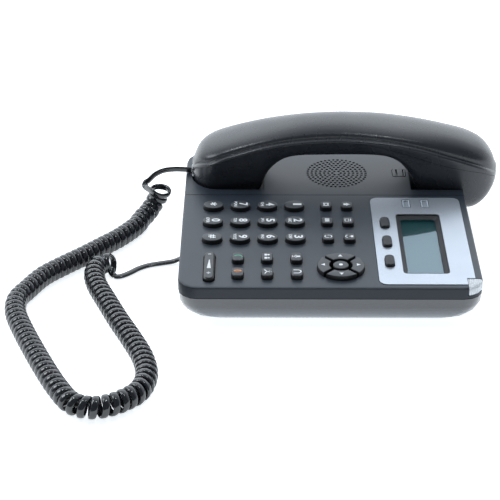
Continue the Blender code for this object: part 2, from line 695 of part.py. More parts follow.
def feet():
    for name, y in (("front_foot_strip", -62 * MM), ("rear_foot_strip", 70 * MM)):
        low, high = rounded_rect(118 * MM, 10 * MM, 4 * MM), rounded_rect(116 * MM, 8 * MM, 3 * MM)
        rings = [at_height(high, 0), at_height(low, 0.5 * MM), at_height(low, SHELL_BOTTOM_Z - GAP)]
        place(name, loft_mesh(name, rings), (0, y, 0), RUBBER_BLACK)


def sockets():
    low, high = SOCKETS_Z
    both = block_mesh("network_socket_pair", NETWORK_X, SOCKETS_Y, SOCKETS_Z)
    pair = place("network_socket_pair", both, look=SOCKET_BLACK)
    quarter = (NETWORK_X[1] - NETWORK_X[0]) / 4
    for number, x in enumerate((NETWORK_X[0] + quarter, NETWORK_X[1] - quarter)):
        mouth = block_mesh(
            f"network_mouth_{number}", (x - 5.9 * MM, x + 5.9 * MM), (81 * MM, 96 * MM), (low + 1.6 * MM, high - 1.6 * MM)
        )
        boolean(pair, cutter(f"network_mouth_{number}", mouth), "DIFFERENCE")

    power = place("power_socket", block_mesh("power_socket", POWER_X, SOCKETS_Y, SOCKETS_Z), look=SOCKET_BLACK)
    middle = ((POWER_X[0] + POWER_X[1]) / 2, 88 * MM, (low + high) / 2)
    for name, radius, depth, offset, operation in (
        ("power_bore", 3.2 * MM, 16 * MM, 0, "DIFFERENCE"), ("power_pin", 1.0 * MM, 12 * MM, -4 * MM, "UNION"),
    ):
        mesh = cylinder_mesh(name, radius, depth, 16)
        mesh.transform(Matrix.Rotation(math.pi / 2, 4, "X"))
        boolean(power, cutter(name, mesh, (middle[0], middle[1] + offset, middle[2])), operation)

    x, end = CORD_SOCKET_X, CORD_POCKET_END_Y
    body = block_mesh(
        "handset_cord_socket", (x - 6.2 * MM, x + 6.2 * MM), (end + 2.4 * MM, end + 16 * MM), (3.9 * MM, 13 * MM)
    )
    socket = place("handset_cord_socket", body, look=SOCKET_BLACK)
    mouth = block_mesh(
        "cord_mouth", (x - 4.2 * MM, x + 4.2 * MM), (end, end + 12 * MM), (CORD_PLUG_Z - 3.6 * MM, CORD_PLUG_Z + 3.6 * MM)
    )
    boolean(socket, cutter("cord_mouth", mouth), "DIFFERENCE")


# --- handset -------------------------------------------------------------------------------


def curve_through(points):
    """A smooth height over Y through a few points: cubic pieces with slopes from the neighbours."""
    ys = [p[0] * MM for p in points]
    zs = [p[1] * MM for p in points]
    slopes = []
    for i in range(len(ys)):
        a, b = max(i - 1, 0), min(i + 1, len(ys) - 1)
        slopes.append((zs[b] - zs[a]) / (ys[b] - ys[a]))

    def height(y):
        y = min(max(y, ys[0]), ys[-1])
        i = max(k for k in range(len(ys) - 1) if ys[k] <= y)
        width = ys[i + 1] - ys[i]
        t = (y - ys[i]) / width
        return (
            (2 * t**3 - 3 * t**2 + 1) * zs[i] + (t**3 - 2 * t**2 + t) * width * slopes[i]
            + (-2 * t**3 + 3 * t**2) * zs[i + 1] + (t**3 - t**2) * width * slopes[i + 1]
        )

    return height


crown_z = curve_through(
    [(-91, 38), (-89, 44), (-85, 50.4), (-78, 54.4), (-68, 57.9), (-52, 62.6), (-33, 67.1), (-12, 70.5),
     (12, 71.6), (34, 70.5), (56, 68), (76, 65), (92, 61.6), (104, 57.8), (112, 53.8), (118, 47.2),
     (121.4, 40), (122.6, 34)]
)
parting_z = curve_through(
    [(-91, 35.5), (-86, 41.2), (-78, 45.8), (-66, 50.8), (-52, 55.3), (-34, 59.4), (-12, 61.9), (12, 63),
     (34, 61.4), (56, 55.8), (70, 51), (82, 47.2), (91, 45), (98, 43.6), (108, 41), (114, 37.8), (122.6, 30.6)]
)
underside_z = curve_through(
    [(-91, 27), (-89.5, 22.4), (-87, 19.6), (-83, 18.4), (-60, 18.4), (-47.6, 18.4), (-45, 19), (-43.2, 22),
     (-41.6, 27.4), (-39.4, 33.7), (-36, 39.2), (-30.6, 44.9), (-24.4, 48.3), (-16, 49.8), (0, 50.1), (14, 50.4),
     (32, 50.9), (42, 50.6), (47.8, 48.8), (53.4, 45), (57.6, 39.8), (61, 34.1), (63.6, 28), (65.4, 23),
     (67.6, 20.1), (72, 18.4), (86, 13.2), (98, 8.8), (104, 8), (110, 10.4), (115.6, 15.6), (120, 23),
     (122.6, 29.4)]
)
STATIONS = [
    -90.8, -90, -88.5, -86, -82, -76, -66, -54, -47, -44.6, -43, -41.4, -39, -35.6, -31, -25, -16, 0, 16, 32,
    42, 48, 53, 57.4, 61, 63.8, 65.6, 68, 74, 84, 94, 101, 107, 112, 116, 119.4, 121.6, 122.4,
]


def plan_half_width(y, inset=0.0):
    """Half the handset's width: a long shallow waist, and a round nose at each end."""
    waist = math.cos(math.pi / 2 * min(abs(y - GRIP_MIDDLE_Y) / GRIP_REACH, 1)) ** 2
    half = HANDSET_HALF_WIDTH - GRIP_WAIST * waist - inset
    near_centre, far_centre = -72 * MM, 98 * MM
    if y < near_centre:
        share = (near_centre - y) / (near_centre - HANDSET_NEAR_Y + 0.1 * MM - inset)
    elif y > far_centre:
        share = (y - far_centre) / (HANDSET_FAR_Y + 0.2 * MM - inset - far_centre)
    else:
        share = 0.0
    return half * math.sqrt(max(1 - share * share, 0.004))


def stations(inset):
    low, high = HANDSET_NEAR_Y + inset, HANDSET_FAR_Y - inset
    inside = [y * MM for y in STATIONS if low + 0.3 * MM < y * MM < high - 0.3 * MM]
    return [low] + inside + [high]


def dome_ring(y, half, low, high, power, count, extra=None):
    """A section across the handset: a superellipse arch from one side to the other."""
    ring = []
    for i in range(count + 1):
        angle = math.pi * i / count
        cosine, sine = math.cos(angle), math.sin(angle)
        x = half * math.copysign(abs(cosine) ** (2 / power), cosine)
        ring.append(Vector((x, y, low + (high - low) * abs(sine) ** (2 / power))))
    if extra is not None:
        ring += [Vector((-half, y, extra)), Vector((half, y, extra))]
    return ring


def handset_outer():
    """The curved back of the handset, a shell open below the parting line."""
    def rings(inset, extra):
        made = []
        for y in stations(inset):
            half = plan_half_width(y, inset)
            edge = parting_z(y) + 0.2 * MM
            top = min(crown_z(y - inset), crown_z(y), crown_z(y + inset)) - inset
            floor = edge - extra if extra else None
            made.append(dome_ring(y, half, edge, max(top, edge + 0.6 * MM), BACK_POWER, 10, floor))
        return made

    shell = place("handset_outer_shell", loft_mesh("handset_outer_shell", rings(0, 0)), (HANDSET_X, 0, 0), HANDSET_BLACK)
    hollow = cutter("outer_hollow", loft_mesh("outer_hollow", rings(HANDSET_WALL, 4 * MM)), (HANDSET_X, 0, 0))
    boolean(shell, hollow, "DIFFERENCE")


def handset_inner():
    """The side that faces the user's head: microphone end, grip and receiver end in one shell."""
    def rings(inset, extra):
        made = []
        for y in stations(inset):
            half = plan_half_width(y, inset)
            edge = parting_z(y) - 0.2 * MM
            deep = max(underside_z(y - inset), underside_z(y), underside_z(y + inset)) + inset
            ceiling = edge + extra if extra else None
            made.append(dome_ring(y, half, edge, min(deep, edge - 0.6 * MM), FACE_POWER, 12, ceiling))
        return made

    shell = place("handset_inner_shell", loft_mesh("handset_inner_shell", rings(0, 0)), (HANDSET_X, 0, 0), HANDSET_BLACK)
    hollow = cutter("inner_hollow", loft_mesh("inner_hollow", rings(HANDSET_WALL, 4 * MM)), (HANDSET_X, 0, 0))
    boolean(shell, hollow, "DIFFERENCE")
    hole = block_mesh(
        "plug_hole", (HANDSET_X - 4.2 * MM, HANDSET_X + 4.2 * MM), (-96 * MM, -84 * MM),
        (HANDSET_PLUG_Z - 3.6 * MM, HANDSET_PLUG_Z + 3.6 * MM),
    )
    boolean(shell, cutter("plug_hole", hole), "DIFFERENCE")


def handset_inside():
    turned(
        "handset_microphone",
        [(0, 27 * MM), (4.6 * MM, 27 * MM), (4.6 * MM, 21.4 * MM), (0, 21.4 * MM)],
        (HANDSET_X, -66 * MM, 0),
        STEEL_GREY,
        16,
    )
    receiver = turned(
        "handset_receiver",
        [(0, 5 * MM), (9 * MM, 5 * MM), (9 * MM, 2 * MM), (16 * MM, 1 * MM), (16 * MM, -4 * MM), (0, -4 * MM)],
        (HANDSET_X, 86 * MM, 25 * MM),
        STEEL_GREY,
        20,
    )
    receiver.rotation_euler = (math.atan(EAR_FACE_SLOPE), 0, 0)


# --- curly cord ----------------------------------------------------------------------------


def smooth_route(route, spacing):
    """Points about `spacing` apart on a smooth curve through the route's points."""
    points = [Vector(p) * MM for p in route]
    knots = [2 * points[0] - points[1]] + points + [2 * points[-1] - points[-2]]
    fine = []
    for a, b, c, d in zip(knots, knots[1:], knots[2:], knots[3:]):
        for step in range(16):
            t = step / 16
            fine.append(
                0.5 * (2 * b + (c - a) * t + (2 * a - 5 * b + 4 * c - d) * t**2 + (3 * b - a - 3 * c + d) * t**3)
            )
    fine.append(points[-1])
    total = sum((b - a).length for a, b in zip(fine, fine[1:]))
    count = max(round(total / spacing), 2)
    chosen, walked, index = [fine[0]], 0.0, 0
    for step in range(1, count):
        target = total * step / count
        while walked + (fine[index + 1] - fine[index]).length < target:
            walked += (fine[index + 1] - fine[index]).length
            index += 1
        share = (target - walked) / (fine[index + 1] - fine[index]).length
        chosen.append(fine[index].lerp(fine[index + 1], share))
    return chosen + [fine[-1]]


def tube(name, route, radius, spacing):
    data = bpy.data.curves.new(name, "CURVE")
    data.dimensions = "3D"
    data.bevel_depth = radius
    data.bevel_resolution = 2
    data.render_resolution_u = 0
    data.use_fill_caps = True
    spline = data.splines.new("POLY")
    points = smooth_route(route, spacing)
    spline.points.add(len(points) - 1)
    for spot, point in zip(spline.points, points):
        spot.co = (*point, 1)
    obj = bpy.data.objects.new(name, data)
    PARTS.objects.link(obj)
    obj.parent = PANEL_MIDDLE
    data.materials.append(CORD_BLACK)


def plug(name, x, y, z):
    """A modular plug: its cord leaves from the end at y, and its body runs from there towards +Y."""
    width, length, height = PLUG_SIZE
    mesh = block_mesh(name, (x - width / 2, x + width / 2), (y, y + length), (z - height / 2, z + height / 2))
    body = place(name, mesh, look=CLEAR)
    edge = body.modifiers.new("edges", "BEVEL")
    edge.width = 0.4 * MM
    edge.segments = 1


def curly_cord():
    tube("handset_lead", HANDSET_LEAD_ROUTE, LEAD_THICKNESS / 2, LEAD_SPACING)
    tube("cord_coil", COIL_ROUTE, COIL_RADIUS, COIL_SPACING)
    tube("base_lead", BASE_LEAD_ROUTE, LEAD_THICKNESS / 2, LEAD_SPACING)
    plug("handset_cord_plug", HANDSET_X, HANDSET_PLUG_Y, HANDSET_PLUG_Z)
    plug("base_cord_plug", CORD_SOCKET_X, BASE_PLUG_Y, CORD_PLUG_Z)


# --- build ---------------------------------------------------------------------------------

clear_scene()
PARTS = collection("desk_phone")
CUTTERS = collection("desk_phone_cutters")
PANEL_MIDDLE = bpy.data.objects.new("panel_middle", None)
PARTS.objects.link(PANEL_MIDDLE)
PANEL_MIDDLE.location = PANEL_PLACE

PANEL_GREY = material("panel_grey", (0.075, 0.09, 0.11), 0.42)
CRADLE_GREY = material("cradle_grey", (0.085, 0.10, 0.12), 0.42)
SHELL_GREY = material("shell_grey", (0.065, 0.078, 0.10), 0.45)
HANDSET_BLACK = material("handset_black", (0.02, 0.024, 0.03), 0.22)
KEY_GREY = material("key_grey", (0.03, 0.035, 0.042), 0.35)
SILVER = material("silver_paint", (0.55, 0.60, 0.66), 0.32, 0.7)
CLEAR = material("clear_plastic", (0.85, 0.88, 0.90), 0.15, 0.0, 0.4)
LCD_TEAL = material("lcd_teal", (0.10, 0.22, 0.24), 0.3)
CORD_BLACK = material("cord_black", (0.018, 0.02, 0.024), 0.35)
RUBBER_BLACK = material("rubber_black", (0.02, 0.02, 0.02), 0.8)
SOCKET_BLACK = material("socket_black", (0.03, 0.03, 0.032), 0.5)
BOARD_GREEN = material("board_green", (0.04, 0.2, 0.08), 0.5)
STEEL_GREY = material("steel_grey", (0.4, 0.4, 0.42), 0.35, 0.9)

key_holes = dial_keys()
key_holes += small_keys(CALL_SIZE, CALL_ROWS_X, CALL_COLUMNS_Y, CALL_NAMES)
key_holes += small_keys(FEATURE_SIZE, FEATURE_ROWS_X, FEATURE_COLUMNS_Y, FEATURE_NAMES)
key_holes += soft_keys() + volume_rocker() + navigation_keys()
lower_shell()
keypad_cover(key_holes)
cradle_cover()
message_light()
display_bezel()
display_stack()
inner_pieces()
feet()
sockets()
handset_outer()
handset_inner()
handset_inside()
curly_cord()
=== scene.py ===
"""Desk IP phone: finished pieces, materials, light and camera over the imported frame.

Lengths are metres, written as millimetres * MM. Points given as (x, y, z) count from the middle of
the phone's panel; `piece` and `refined` move them into the frame, where that point is at SHIFT.
"""

import math

import bmesh
import bpy
from mathutils import Matrix, Vector


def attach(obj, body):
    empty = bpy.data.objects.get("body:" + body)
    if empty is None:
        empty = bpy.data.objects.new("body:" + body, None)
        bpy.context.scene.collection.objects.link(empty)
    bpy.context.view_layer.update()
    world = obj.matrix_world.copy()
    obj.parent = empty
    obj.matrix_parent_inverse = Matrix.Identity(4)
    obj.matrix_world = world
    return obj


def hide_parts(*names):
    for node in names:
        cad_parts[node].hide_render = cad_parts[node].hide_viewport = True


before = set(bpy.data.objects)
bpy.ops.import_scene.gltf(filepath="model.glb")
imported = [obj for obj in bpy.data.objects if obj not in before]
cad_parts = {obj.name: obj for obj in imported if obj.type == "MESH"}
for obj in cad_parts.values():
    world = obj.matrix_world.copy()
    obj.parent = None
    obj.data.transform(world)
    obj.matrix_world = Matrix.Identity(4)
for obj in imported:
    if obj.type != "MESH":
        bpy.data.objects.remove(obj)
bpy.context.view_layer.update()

MM = 0.001
SHIFT = Vector((2.25, -13.4, 0)) * MM


# --- materials -----------------------------------------------------------------------------


class Nodes:
    """A small helper around one material's node tree."""

    def __init__(self, name):
        self.material = bpy.data.materials.new(name)
        self.material.use_nodes = True
        self.tree = self.material.node_tree
        self.shader = self.tree.nodes["Principled BSDF"]
        self.output = self.tree.nodes["Material Output"]

    def add(self, kind, **values):
        node = self.tree.nodes.new(kind)
        for key, value in values.items():
            if key in node.inputs:
                node.inputs[key].default_value = value
            else:
                setattr(node, key, value)
        return node

    def link(self, a, b):
        self.tree.links.new(a, b)

    def feed(self, name, source):
        """Link an output to an input of the shader."""
        self.link(source, self.shader.inputs[name])

    def set(self, **values):
        for key, value in values.items():
            self.shader.inputs[key.replace("_", " ")].default_value = value


def noise(nodes, scale, detail=2.0, roughness=0.5):
    place = nodes.add("ShaderNodeTexCoord")
    made = nodes.add("ShaderNodeTexNoise", Scale=scale, Detail=detail, Roughness=roughness)
    nodes.link(place.outputs["Object"], made.inputs["Vector"])
    return made


def ramp(nodes, source, low, high, start=0.35, end=0.65):
    made = nodes.add("ShaderNodeMapRange")
    made.inputs["From Min"].default_value = start
    made.inputs["From Max"].default_value = end
    made.inputs["To Min"].default_value = low
    made.inputs["To Max"].default_value = high
    nodes.link(source, made.inputs["Value"])
    return made.outputs["Result"]


def blend(nodes, factor, first, second=None):
    """A colour mix. The second colour may be linked in later."""
    mix = nodes.add("ShaderNodeMix", data_type="RGBA")
    mix.inputs["A"].default_value = (*first, 1)
    if second:
        mix.inputs["B"].default_value = (*second, 1)
    nodes.link(factor, mix.inputs["Factor"])
    return mix


def tone(nodes, colour, share, scale):
    """The colour with a soft cloudy change of brightness of about `share`."""
    clouds = ramp(nodes, noise(nodes, scale, 3.0).outputs["Fac"], 0, 1)
    darker = [c * (1 - share) for c in colour]
    return blend(nodes, clouds, darker, [min(c * (1 + share), 1) for c in colour]).outputs["Result"]


def bump(nodes, source, strength, distance, below=None):
    made = nodes.add("ShaderNodeBump", Strength=strength, Distance=distance)
    nodes.link(source, made.inputs["Height"])
    if below is not None:
        nodes.link(below, made.inputs["Normal"])
    return made.outputs["Normal"]


def grained(nodes, scale, strength, distance=0.00006):
    """Fine spark-eroded grain on the surface."""
    fine = noise(nodes, scale, 2.0)
    nodes.feed("Normal", bump(nodes, fine.outputs["Fac"], strength, distance))


def plastic(name, colour, roughness, grain=0.3, grain_scale=2200, share=0.06, specular=0.5):
    """Moulded plastic: fine grain, faint clouds in colour and gloss."""
    nodes = Nodes(name)
    nodes.feed("Base Color", tone(nodes, colour, share, 28))
    smudge = noise(nodes, 60, 4.0, 0.6)
    nodes.feed("Roughness", ramp(nodes, smudge.outputs["Fac"], roughness * 0.9, roughness * 1.12))
    grained(nodes, grain_scale, grain)
    nodes.set(Specular_IOR_Level=specular)
    return nodes.material


def plastic_with_painted_floor_glow(name, rim, foot, heights, roughness):
    """Satin plastic whose colour goes from one at the rim to a lighter one at the foot. The lighter foot is painted
    light: a painted reflection of the bright floor on the shell's lower side.
    """
    nodes = Nodes(name)
    place = nodes.add("ShaderNodeTexCoord")
    split = nodes.add("ShaderNodeSeparateXYZ")
    nodes.link(place.outputs["Object"], split.inputs["Vector"])
    # Painted reflection: the colour lightens towards the foot, standing in for the bright floor mirrored in the
    # lower shell.
    mix = blend(nodes, ramp(nodes, split.outputs["Z"], 0, 1, *heights), foot)
    nodes.link(tone(nodes, rim, 0.05, 28), mix.inputs["B"])
    nodes.feed("Base Color", mix.outputs["Result"])
    grained(nodes, 2200, 0.1)
    nodes.set(Roughness=roughness, Specular_IOR_Level=0.8, Coat_Weight=0.8, Coat_Roughness=0.12)
    return nodes.material


def plastic_with_painted_side_shade(name, top, side, roughness, grain_scale=2600, side_specular=0.5):
    """The upper face is lighter than the sides: the sides' darker colour and lower specular are painted shade."""
    nodes = Nodes(name)
    geometry = nodes.add("ShaderNodeNewGeometry")
    split = nodes.add("ShaderNodeSeparateXYZ")
    nodes.link(geometry.outputs["Normal"], split.inputs["Vector"])
    # Painted shade: faces that turn away from straight up get the darker side colour and less specular.
    upper = ramp(nodes, split.outputs["Z"], 0, 1, 0.75, 0.95)
    mix = blend(nodes, upper, side)
    nodes.feed("Specular IOR Level", ramp(nodes, upper, side_specular, 0.5, 0, 1))
    nodes.link(tone(nodes, top, 0.06, 60), mix.inputs["B"])
    nodes.feed("Base Color", mix.outputs["Result"])
    grained(nodes, grain_scale, 0.25, 0.00005)
    nodes.set(Roughness=roughness)
    return nodes.material


def silver_paint(name, colour):
    """Satin silver paint with fine flake."""
    nodes = Nodes(name)
    nodes.feed("Base Color", tone(nodes, colour, 0.03, 40))
    flake = noise(nodes, 5200, 1.0)
    nodes.feed("Roughness", ramp(nodes, flake.outputs["Fac"], 0.26, 0.38))
    nodes.feed("Normal", bump(nodes, flake.outputs["Fac"], 0.12, 0.00004))
    nodes.set(Metallic=0.62)
    return nodes.material


def clear_plastic(name, tint, roughness=0.08, ribs=None, clarity=0.85):
    """Clear moulding, with ribs across it when `ribs` gives their scale."""
    nodes = Nodes(name)
    nodes.set(Base_Color=(*tint, 1), Transmission_Weight=clarity, Roughness=roughness, IOR=1.5)
    haze = noise(nodes, 400, 2.0)
    normal = bump(nodes, haze.outputs["Fac"], 0.08, 0.00005)
    if ribs:
        place = nodes.add("ShaderNodeTexCoord")
        wave = nodes.add("ShaderNodeTexWave", Scale=ribs, wave_type="BANDS", bands_direction="Y")
        nodes.link(place.outputs["Object"], wave.inputs["Vector"])
        normal = bump(nodes, wave.outputs["Fac"], 0.9, 0.0003, normal)
    nodes.feed("Normal", normal)
    return nodes.material


def window_glass(name):
    """Thin clear window: mostly see-through, a mirror at a low angle."""
    nodes = Nodes(name)
    see = nodes.add("ShaderNodeBsdfTransparent", Color=(0.9, 0.96, 0.96, 1))
    gloss = nodes.add("ShaderNodeBsdfGlossy", Color=(0.62, 0.73, 0.84, 1), Roughness=0.03)
    haze = noise(nodes, 90, 2.0)
    nodes.link(bump(nodes, haze.outputs["Fac"], 0.02, 0.0001), gloss.inputs["Normal"])
    fresnel = nodes.add("ShaderNodeFresnel", IOR=2.2)
    mix = nodes.add("ShaderNodeMixShader")
    geometry = nodes.add("ShaderNodeNewGeometry")
    outside = nodes.add("ShaderNodeMath", operation="SUBTRACT", use_clamp=True)
    nodes.link(fresnel.outputs["Fac"], outside.inputs[0])
    nodes.link(geometry.outputs["Backfacing"], outside.inputs[1])
    nodes.link(outside.outputs["Value"], mix.inputs["Fac"])
    nodes.link(see.outputs["BSDF"], mix.inputs[1])
    nodes.link(gloss.outputs["BSDF"], mix.inputs[2])
    nodes.link(mix.outputs["Shader"], nodes.output.inputs["Surface"])
    return nodes.material


def lcd_face(name):
    """A reflective liquid-crystal panel: dark teal with a very fine cell grid. Its emission is a painted glow that
    stands in for light reaching the panel in its deep well.
    """
    nodes = Nodes(name)
    place = nodes.add("ShaderNodeTexCoord")
    cells = nodes.add("ShaderNodeTexBrick", Scale=1.0)
    cells.offset = 0.0
    for key, value in (("Brick Width", 0.0007), ("Row Height", 0.0007), ("Mortar Size", 0.00006)):
        cells.inputs[key].default_value = value
    cells.inputs["Color1"].default_value = (0.009, 0.045, 0.053, 1)
    cells.inputs["Color2"].default_value = (0.01, 0.048, 0.056, 1)
    cells.inputs["Mortar"].default_value = (0.008, 0.04, 0.046, 1)
    nodes.link(place.outputs["Object"], cells.inputs["Vector"])
    nodes.feed("Base Color", cells.outputs["Color"])
    # Painted glow: the cell colours also emit, standing in for light that doesn't reach the panel.
    nodes.feed("Emission Color", cells.outputs["Color"])
    nodes.set(Roughness=0.3, Emission_Strength=0.4)
    return nodes.material


def metal(name, colour, roughness):
    nodes = Nodes(name)
    nodes.feed("Base Color", tone(nodes, colour, 0.05, 200))
    streak = noise(nodes, 900, 3.0)
    nodes.feed("Roughness", ramp(nodes, streak.outputs["Fac"], roughness * 0.8, roughness * 1.3))
    nodes.set(Metallic=1.0)
    return nodes.material


def circuit_board(name):
    """Solder mask over copper tracks."""
    nodes = Nodes(name)
    place = nodes.add("ShaderNodeTexCoord")
    tracks = nodes.add("ShaderNodeTexVoronoi", Scale=260.0, distance="MANHATTAN", feature="DISTANCE_TO_EDGE")
    nodes.link(place.outputs["Object"], tracks.inputs["Vector"])
    edges = ramp(nodes, tracks.outputs["Distance"], 0, 1, 0.04, 0.08)
    mix = blend(nodes, edges, (0.05, 0.28, 0.12), (0.02, 0.15, 0.06))
    nodes.feed("Base Color", mix.outputs["Result"])
    nodes.set(Roughness=0.35)
    return nodes.material


# Panel, keys and soft keys carry painted shade: their sides are darker than their tops.
PANEL = plastic_with_painted_side_shade("panel_plastic", (0.027, 0.036, 0.05), (0.02, 0.026, 0.036), 0.4, 2200, 0.3)
# The lower shell's lighter foot is a painted reflection of the floor.
LOWER = plastic_with_painted_floor_glow("lower_plastic", (0.02, 0.026, 0.036), (0.17, 0.195, 0.225), (2 * MM, 14 * MM), 0.26)
BACK = plastic("handset_plastic", (0.024, 0.027, 0.033), 0.27, 0.0, 1800, 0.04)
KEYS = plastic_with_painted_side_shade("plastic_with_painted_side_shade", (0.05, 0.058, 0.068), (0.006, 0.0065, 0.007), 0.4)
SOFT = plastic_with_painted_side_shade("soft_key_plastic", (0.012, 0.015, 0.02), (0.008, 0.0085, 0.01), 0.42)
SILVER = silver_paint("silver_paint", (0.5, 0.55, 0.62))
CLEAR = clear_plastic("clear_plastic", (0.86, 0.92, 0.96))
LENS = clear_plastic("lens_plastic", (0.9, 0.95, 1.0), 0.22, 250, 0.25)
FROST = plastic("frosted_guide", (0.3, 0.34, 0.39), 0.3, 0.15, 1600, 0.03)
# A light colour for the painted highlights on the edges of the line lights.
EDGE_HIGHLIGHT = plastic("painted_edge_highlight", (0.5, 0.57, 0.64), 0.25, 0.1, 1600, 0.03)
WELL = plastic("screen_surround", (0.012, 0.014, 0.018), 0.5, 0.2)
GLASS = window_glass("window_glass")
LCD = lcd_face("lcd_face")
CORD = plastic("cord_jacket", (0.007, 0.009, 0.0125), 0.14, 0.03, 900, 0.08, 0.8)
RUBBER = plastic("rubber", (0.02, 0.02, 0.022), 0.75, 0.5, 1500, 0.15)
SILICONE = plastic("silicone_mat", (0.3, 0.3, 0.31), 0.6, 0.3, 900)
SOCKET = plastic("socket_plastic", (0.014, 0.014, 0.016), 0.38, 0.3)
WHITE = plastic("white_print", (0.86, 0.88, 0.9), 0.5, 0.1, 900, 0.02)
GREEN = plastic("green_print", (0.09, 0.4, 0.28), 0.5, 0.1, 900, 0.03)
ORANGE = plastic("orange_print", (0.75, 0.27, 0.07), 0.5, 0.1, 900, 0.03)
STEEL = metal("steel", (0.42, 0.43, 0.45), 0.3)
GOLD = metal("gold_plate", (0.83, 0.62, 0.25), 0.22)
PAPER = plastic("cone_paper", (0.03, 0.03, 0.032), 0.8, 0.6, 1200, 0.2)
BOARD = circuit_board("circuit_board")


# --- mesh helpers --------------------------------------------------------------------------


def rounded_rect(width, depth, radius, steps=6, centre=(0.0, 0.0)):
    radius = min(radius, 0.48 * min(width, depth))
    points = []
    for turn, (sx, sy) in enumerate([(1, 1), (-1, 1), (-1, -1), (1, -1)]):
        cx = centre[0] + sx * (width / 2 - radius)
        cy = centre[1] + sy * (depth / 2 - radius)
        for step in range(steps + 1):
            angle = math.pi / 2 * (turn + step / steps)
            points.append((cx + radius * math.cos(angle), cy + radius * math.sin(angle)))
    return points


def oval(width, depth, count=48, centre=(0.0, 0.0)):
    turns = [2 * math.pi * i / count for i in range(count)]
    return [(centre[0] + width / 2 * math.cos(a), centre[1] + depth / 2 * math.sin(a)) for a in turns]


def circle(x, y, radius, count=12):
    return oval(2 * radius, 2 * radius, count, (x, y))


def ring_sector(inner, outer, middle, split, steps=14):
    points = []
    for radius, order in ((outer, 1), (inner, -1)):
        half = math.pi / 4 - math.asin(split / 2 / radius)
        for i in range(steps + 1):
            angle = middle + order * half * (2 * i / steps - 1)
            points.append((radius * math.cos(angle), radius * math.sin(angle)))
    return points


def at_height(outline, z):
    return [Vector((x, y, z)) for x, y in outline]


def bridge(bm, rings, closed=False):
    """Join each ring to the next. The ends get caps, or in a closed frame the last ring joins the first."""
    rows = [[bm.verts.new(point) for point in ring] for ring in rings]
    for low, high in zip(rows, rows[1:] + rows[:1] if closed else rows[1:]):
        for i in range(len(low)):
            j = (i + 1) % len(low)
            bm.faces.new((low[i], low[j], high[j], high[i]))
    if not closed:
        bm.faces.new(list(reversed(rows[0])))
        bm.faces.new(rows[-1])


def loft(name, rings, closed=False):
    bm = bmesh.new()
    bridge(bm, rings, closed)
    bmesh.ops.recalc_face_normals(bm, faces=bm.faces)
    return mesh_of(bm, name)


def prisms(name, outlines, low, high):
    bm = bmesh.new()
    for outline in outlines:
        bridge(bm, [at_height(outline, low), at_height(outline, high)])
    bmesh.ops.recalc_face_normals(bm, faces=bm.faces)
    return mesh_of(bm, name)


def mesh_of(bm, name):
    mesh = bpy.data.meshes.new(name)
    bm.to_mesh(mesh)
    bm.free()
    return mesh


def in_scene(name, data):
    obj = bpy.data.objects.new(name, data)
    bpy.context.scene.collection.objects.link(obj)
    return obj


def riding(name, mesh, material, body, stands_for):
    """Move a mesh into the frame, and make it a piece that rides on a body."""
    mesh.transform(Matrix.Translation(SHIFT))
    mesh.materials.clear()
    mesh.materials.append(material)
    obj = in_scene(name, mesh)
    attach(obj, body)
    if stands_for:
        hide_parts(*stands_for)
    return obj


def shown(name, mesh, material, body, sharp=38, stands_for=()):
    """A piece shaded smooth, with creases where its faces meet at more than `sharp` degrees."""
    obj = riding(name, mesh, material, body, stands_for)
    mesh.shade_smooth()
    mesh.set_sharp_from_angle(angle=math.radians(sharp))
    return obj


def piece(name, mesh, material, body, at=(0, 0, 0), sharp=38, stands_for=()):
    """A piece whose mesh is given from the point `at`, which counts from the panel's middle."""
    mesh.transform(Matrix.Translation(at))
    return shown(name, mesh, material, body, sharp, stands_for)


def solid(name, mesh, cuts=(), adds=(), edge=0.0, segments=2):
    """The mesh with others cut from it or added to it, and its edges rounded."""
    obj = in_scene(name + "_form", mesh)
    others = []
    for operation, meshes in (("DIFFERENCE", cuts), ("UNION", adds)):
        for other_mesh in meshes:
            other = in_scene(other_mesh.name, other_mesh)
            others.append(other)
            step = obj.modifiers.new(other_mesh.name, "BOOLEAN")
            step.operation, step.solver, step.object = operation, "EXACT", other
    if edge:
        round_edges = obj.modifiers.new("edges", "BEVEL")
        round_edges.width, round_edges.segments = edge, segments
        round_edges.limit_method, round_edges.angle_limit = "ANGLE", math.radians(32)
        round_edges.miter_outer = "MITER_ARC"
        obj.modifiers.new("flat", "WEIGHTED_NORMAL").weight = 60
    graph = bpy.context.evaluated_depsgraph_get()
    graph.update()
    made = bpy.data.meshes.new_from_object(
        obj.evaluated_get(graph), preserve_all_data_layers=True, depsgraph=graph
    )
    for used in others + [obj]:
        bpy.data.objects.remove(used, do_unlink=True)
    return made


def refined(node, material, body, cuts=(), adds=(), edge=0.25 * MM, segments=2):
    """A copy of a CAD node with further cuts, and with its edges rounded. It stands for the node."""
    bm = bmesh.new()
    bm.from_mesh(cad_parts[node].data)
    bmesh.ops.remove_doubles(bm, verts=bm.verts, dist=0.000002)
    bmesh.ops.dissolve_limit(bm, angle_limit=math.radians(0.6), verts=bm.verts, edges=bm.edges)
    bmesh.ops.translate(bm, vec=-SHIFT, verts=bm.verts)
    mesh = solid(node, mesh_of(bm, node + "_form"), cuts, adds, edge, segments)
    riding(node + "_finished", mesh, material, body, [node])


# --- handset -------------------------------------------------------------------------------

HANDSET_X = -64.0 * MM
HANDSET_HALF_WIDTH = 24.5 * MM
HANDSET_Y = (-90.8 * MM, 122.4 * MM)
HANDSET_WALL = 2.2 * MM
HANDSET_STATIONS = 120
GRIP_WAIST = 2.6 * MM  # how much narrower each side of the grip is
GRIP_MIDDLE_Y = -4.0 * MM
GRIP_REACH = 78.0 * MM
BACK_POWER = 2.25  # of the superellipse across the back
FACE_POWER = 3.4  # and of the squarer one across the face
LIP_HEIGHT = 3.4 * MM  # the soft raised edge above the parting line
HOLLOW_PAST = 4.0 * MM  # how far the hollows' cutters go past the parting line
EAR_FACE_SLOPE = -0.373
EAR_Y = 86.0 * MM
MOUTH_Y, MOUTH_Z = -66.0 * MM, 18.4 * MM


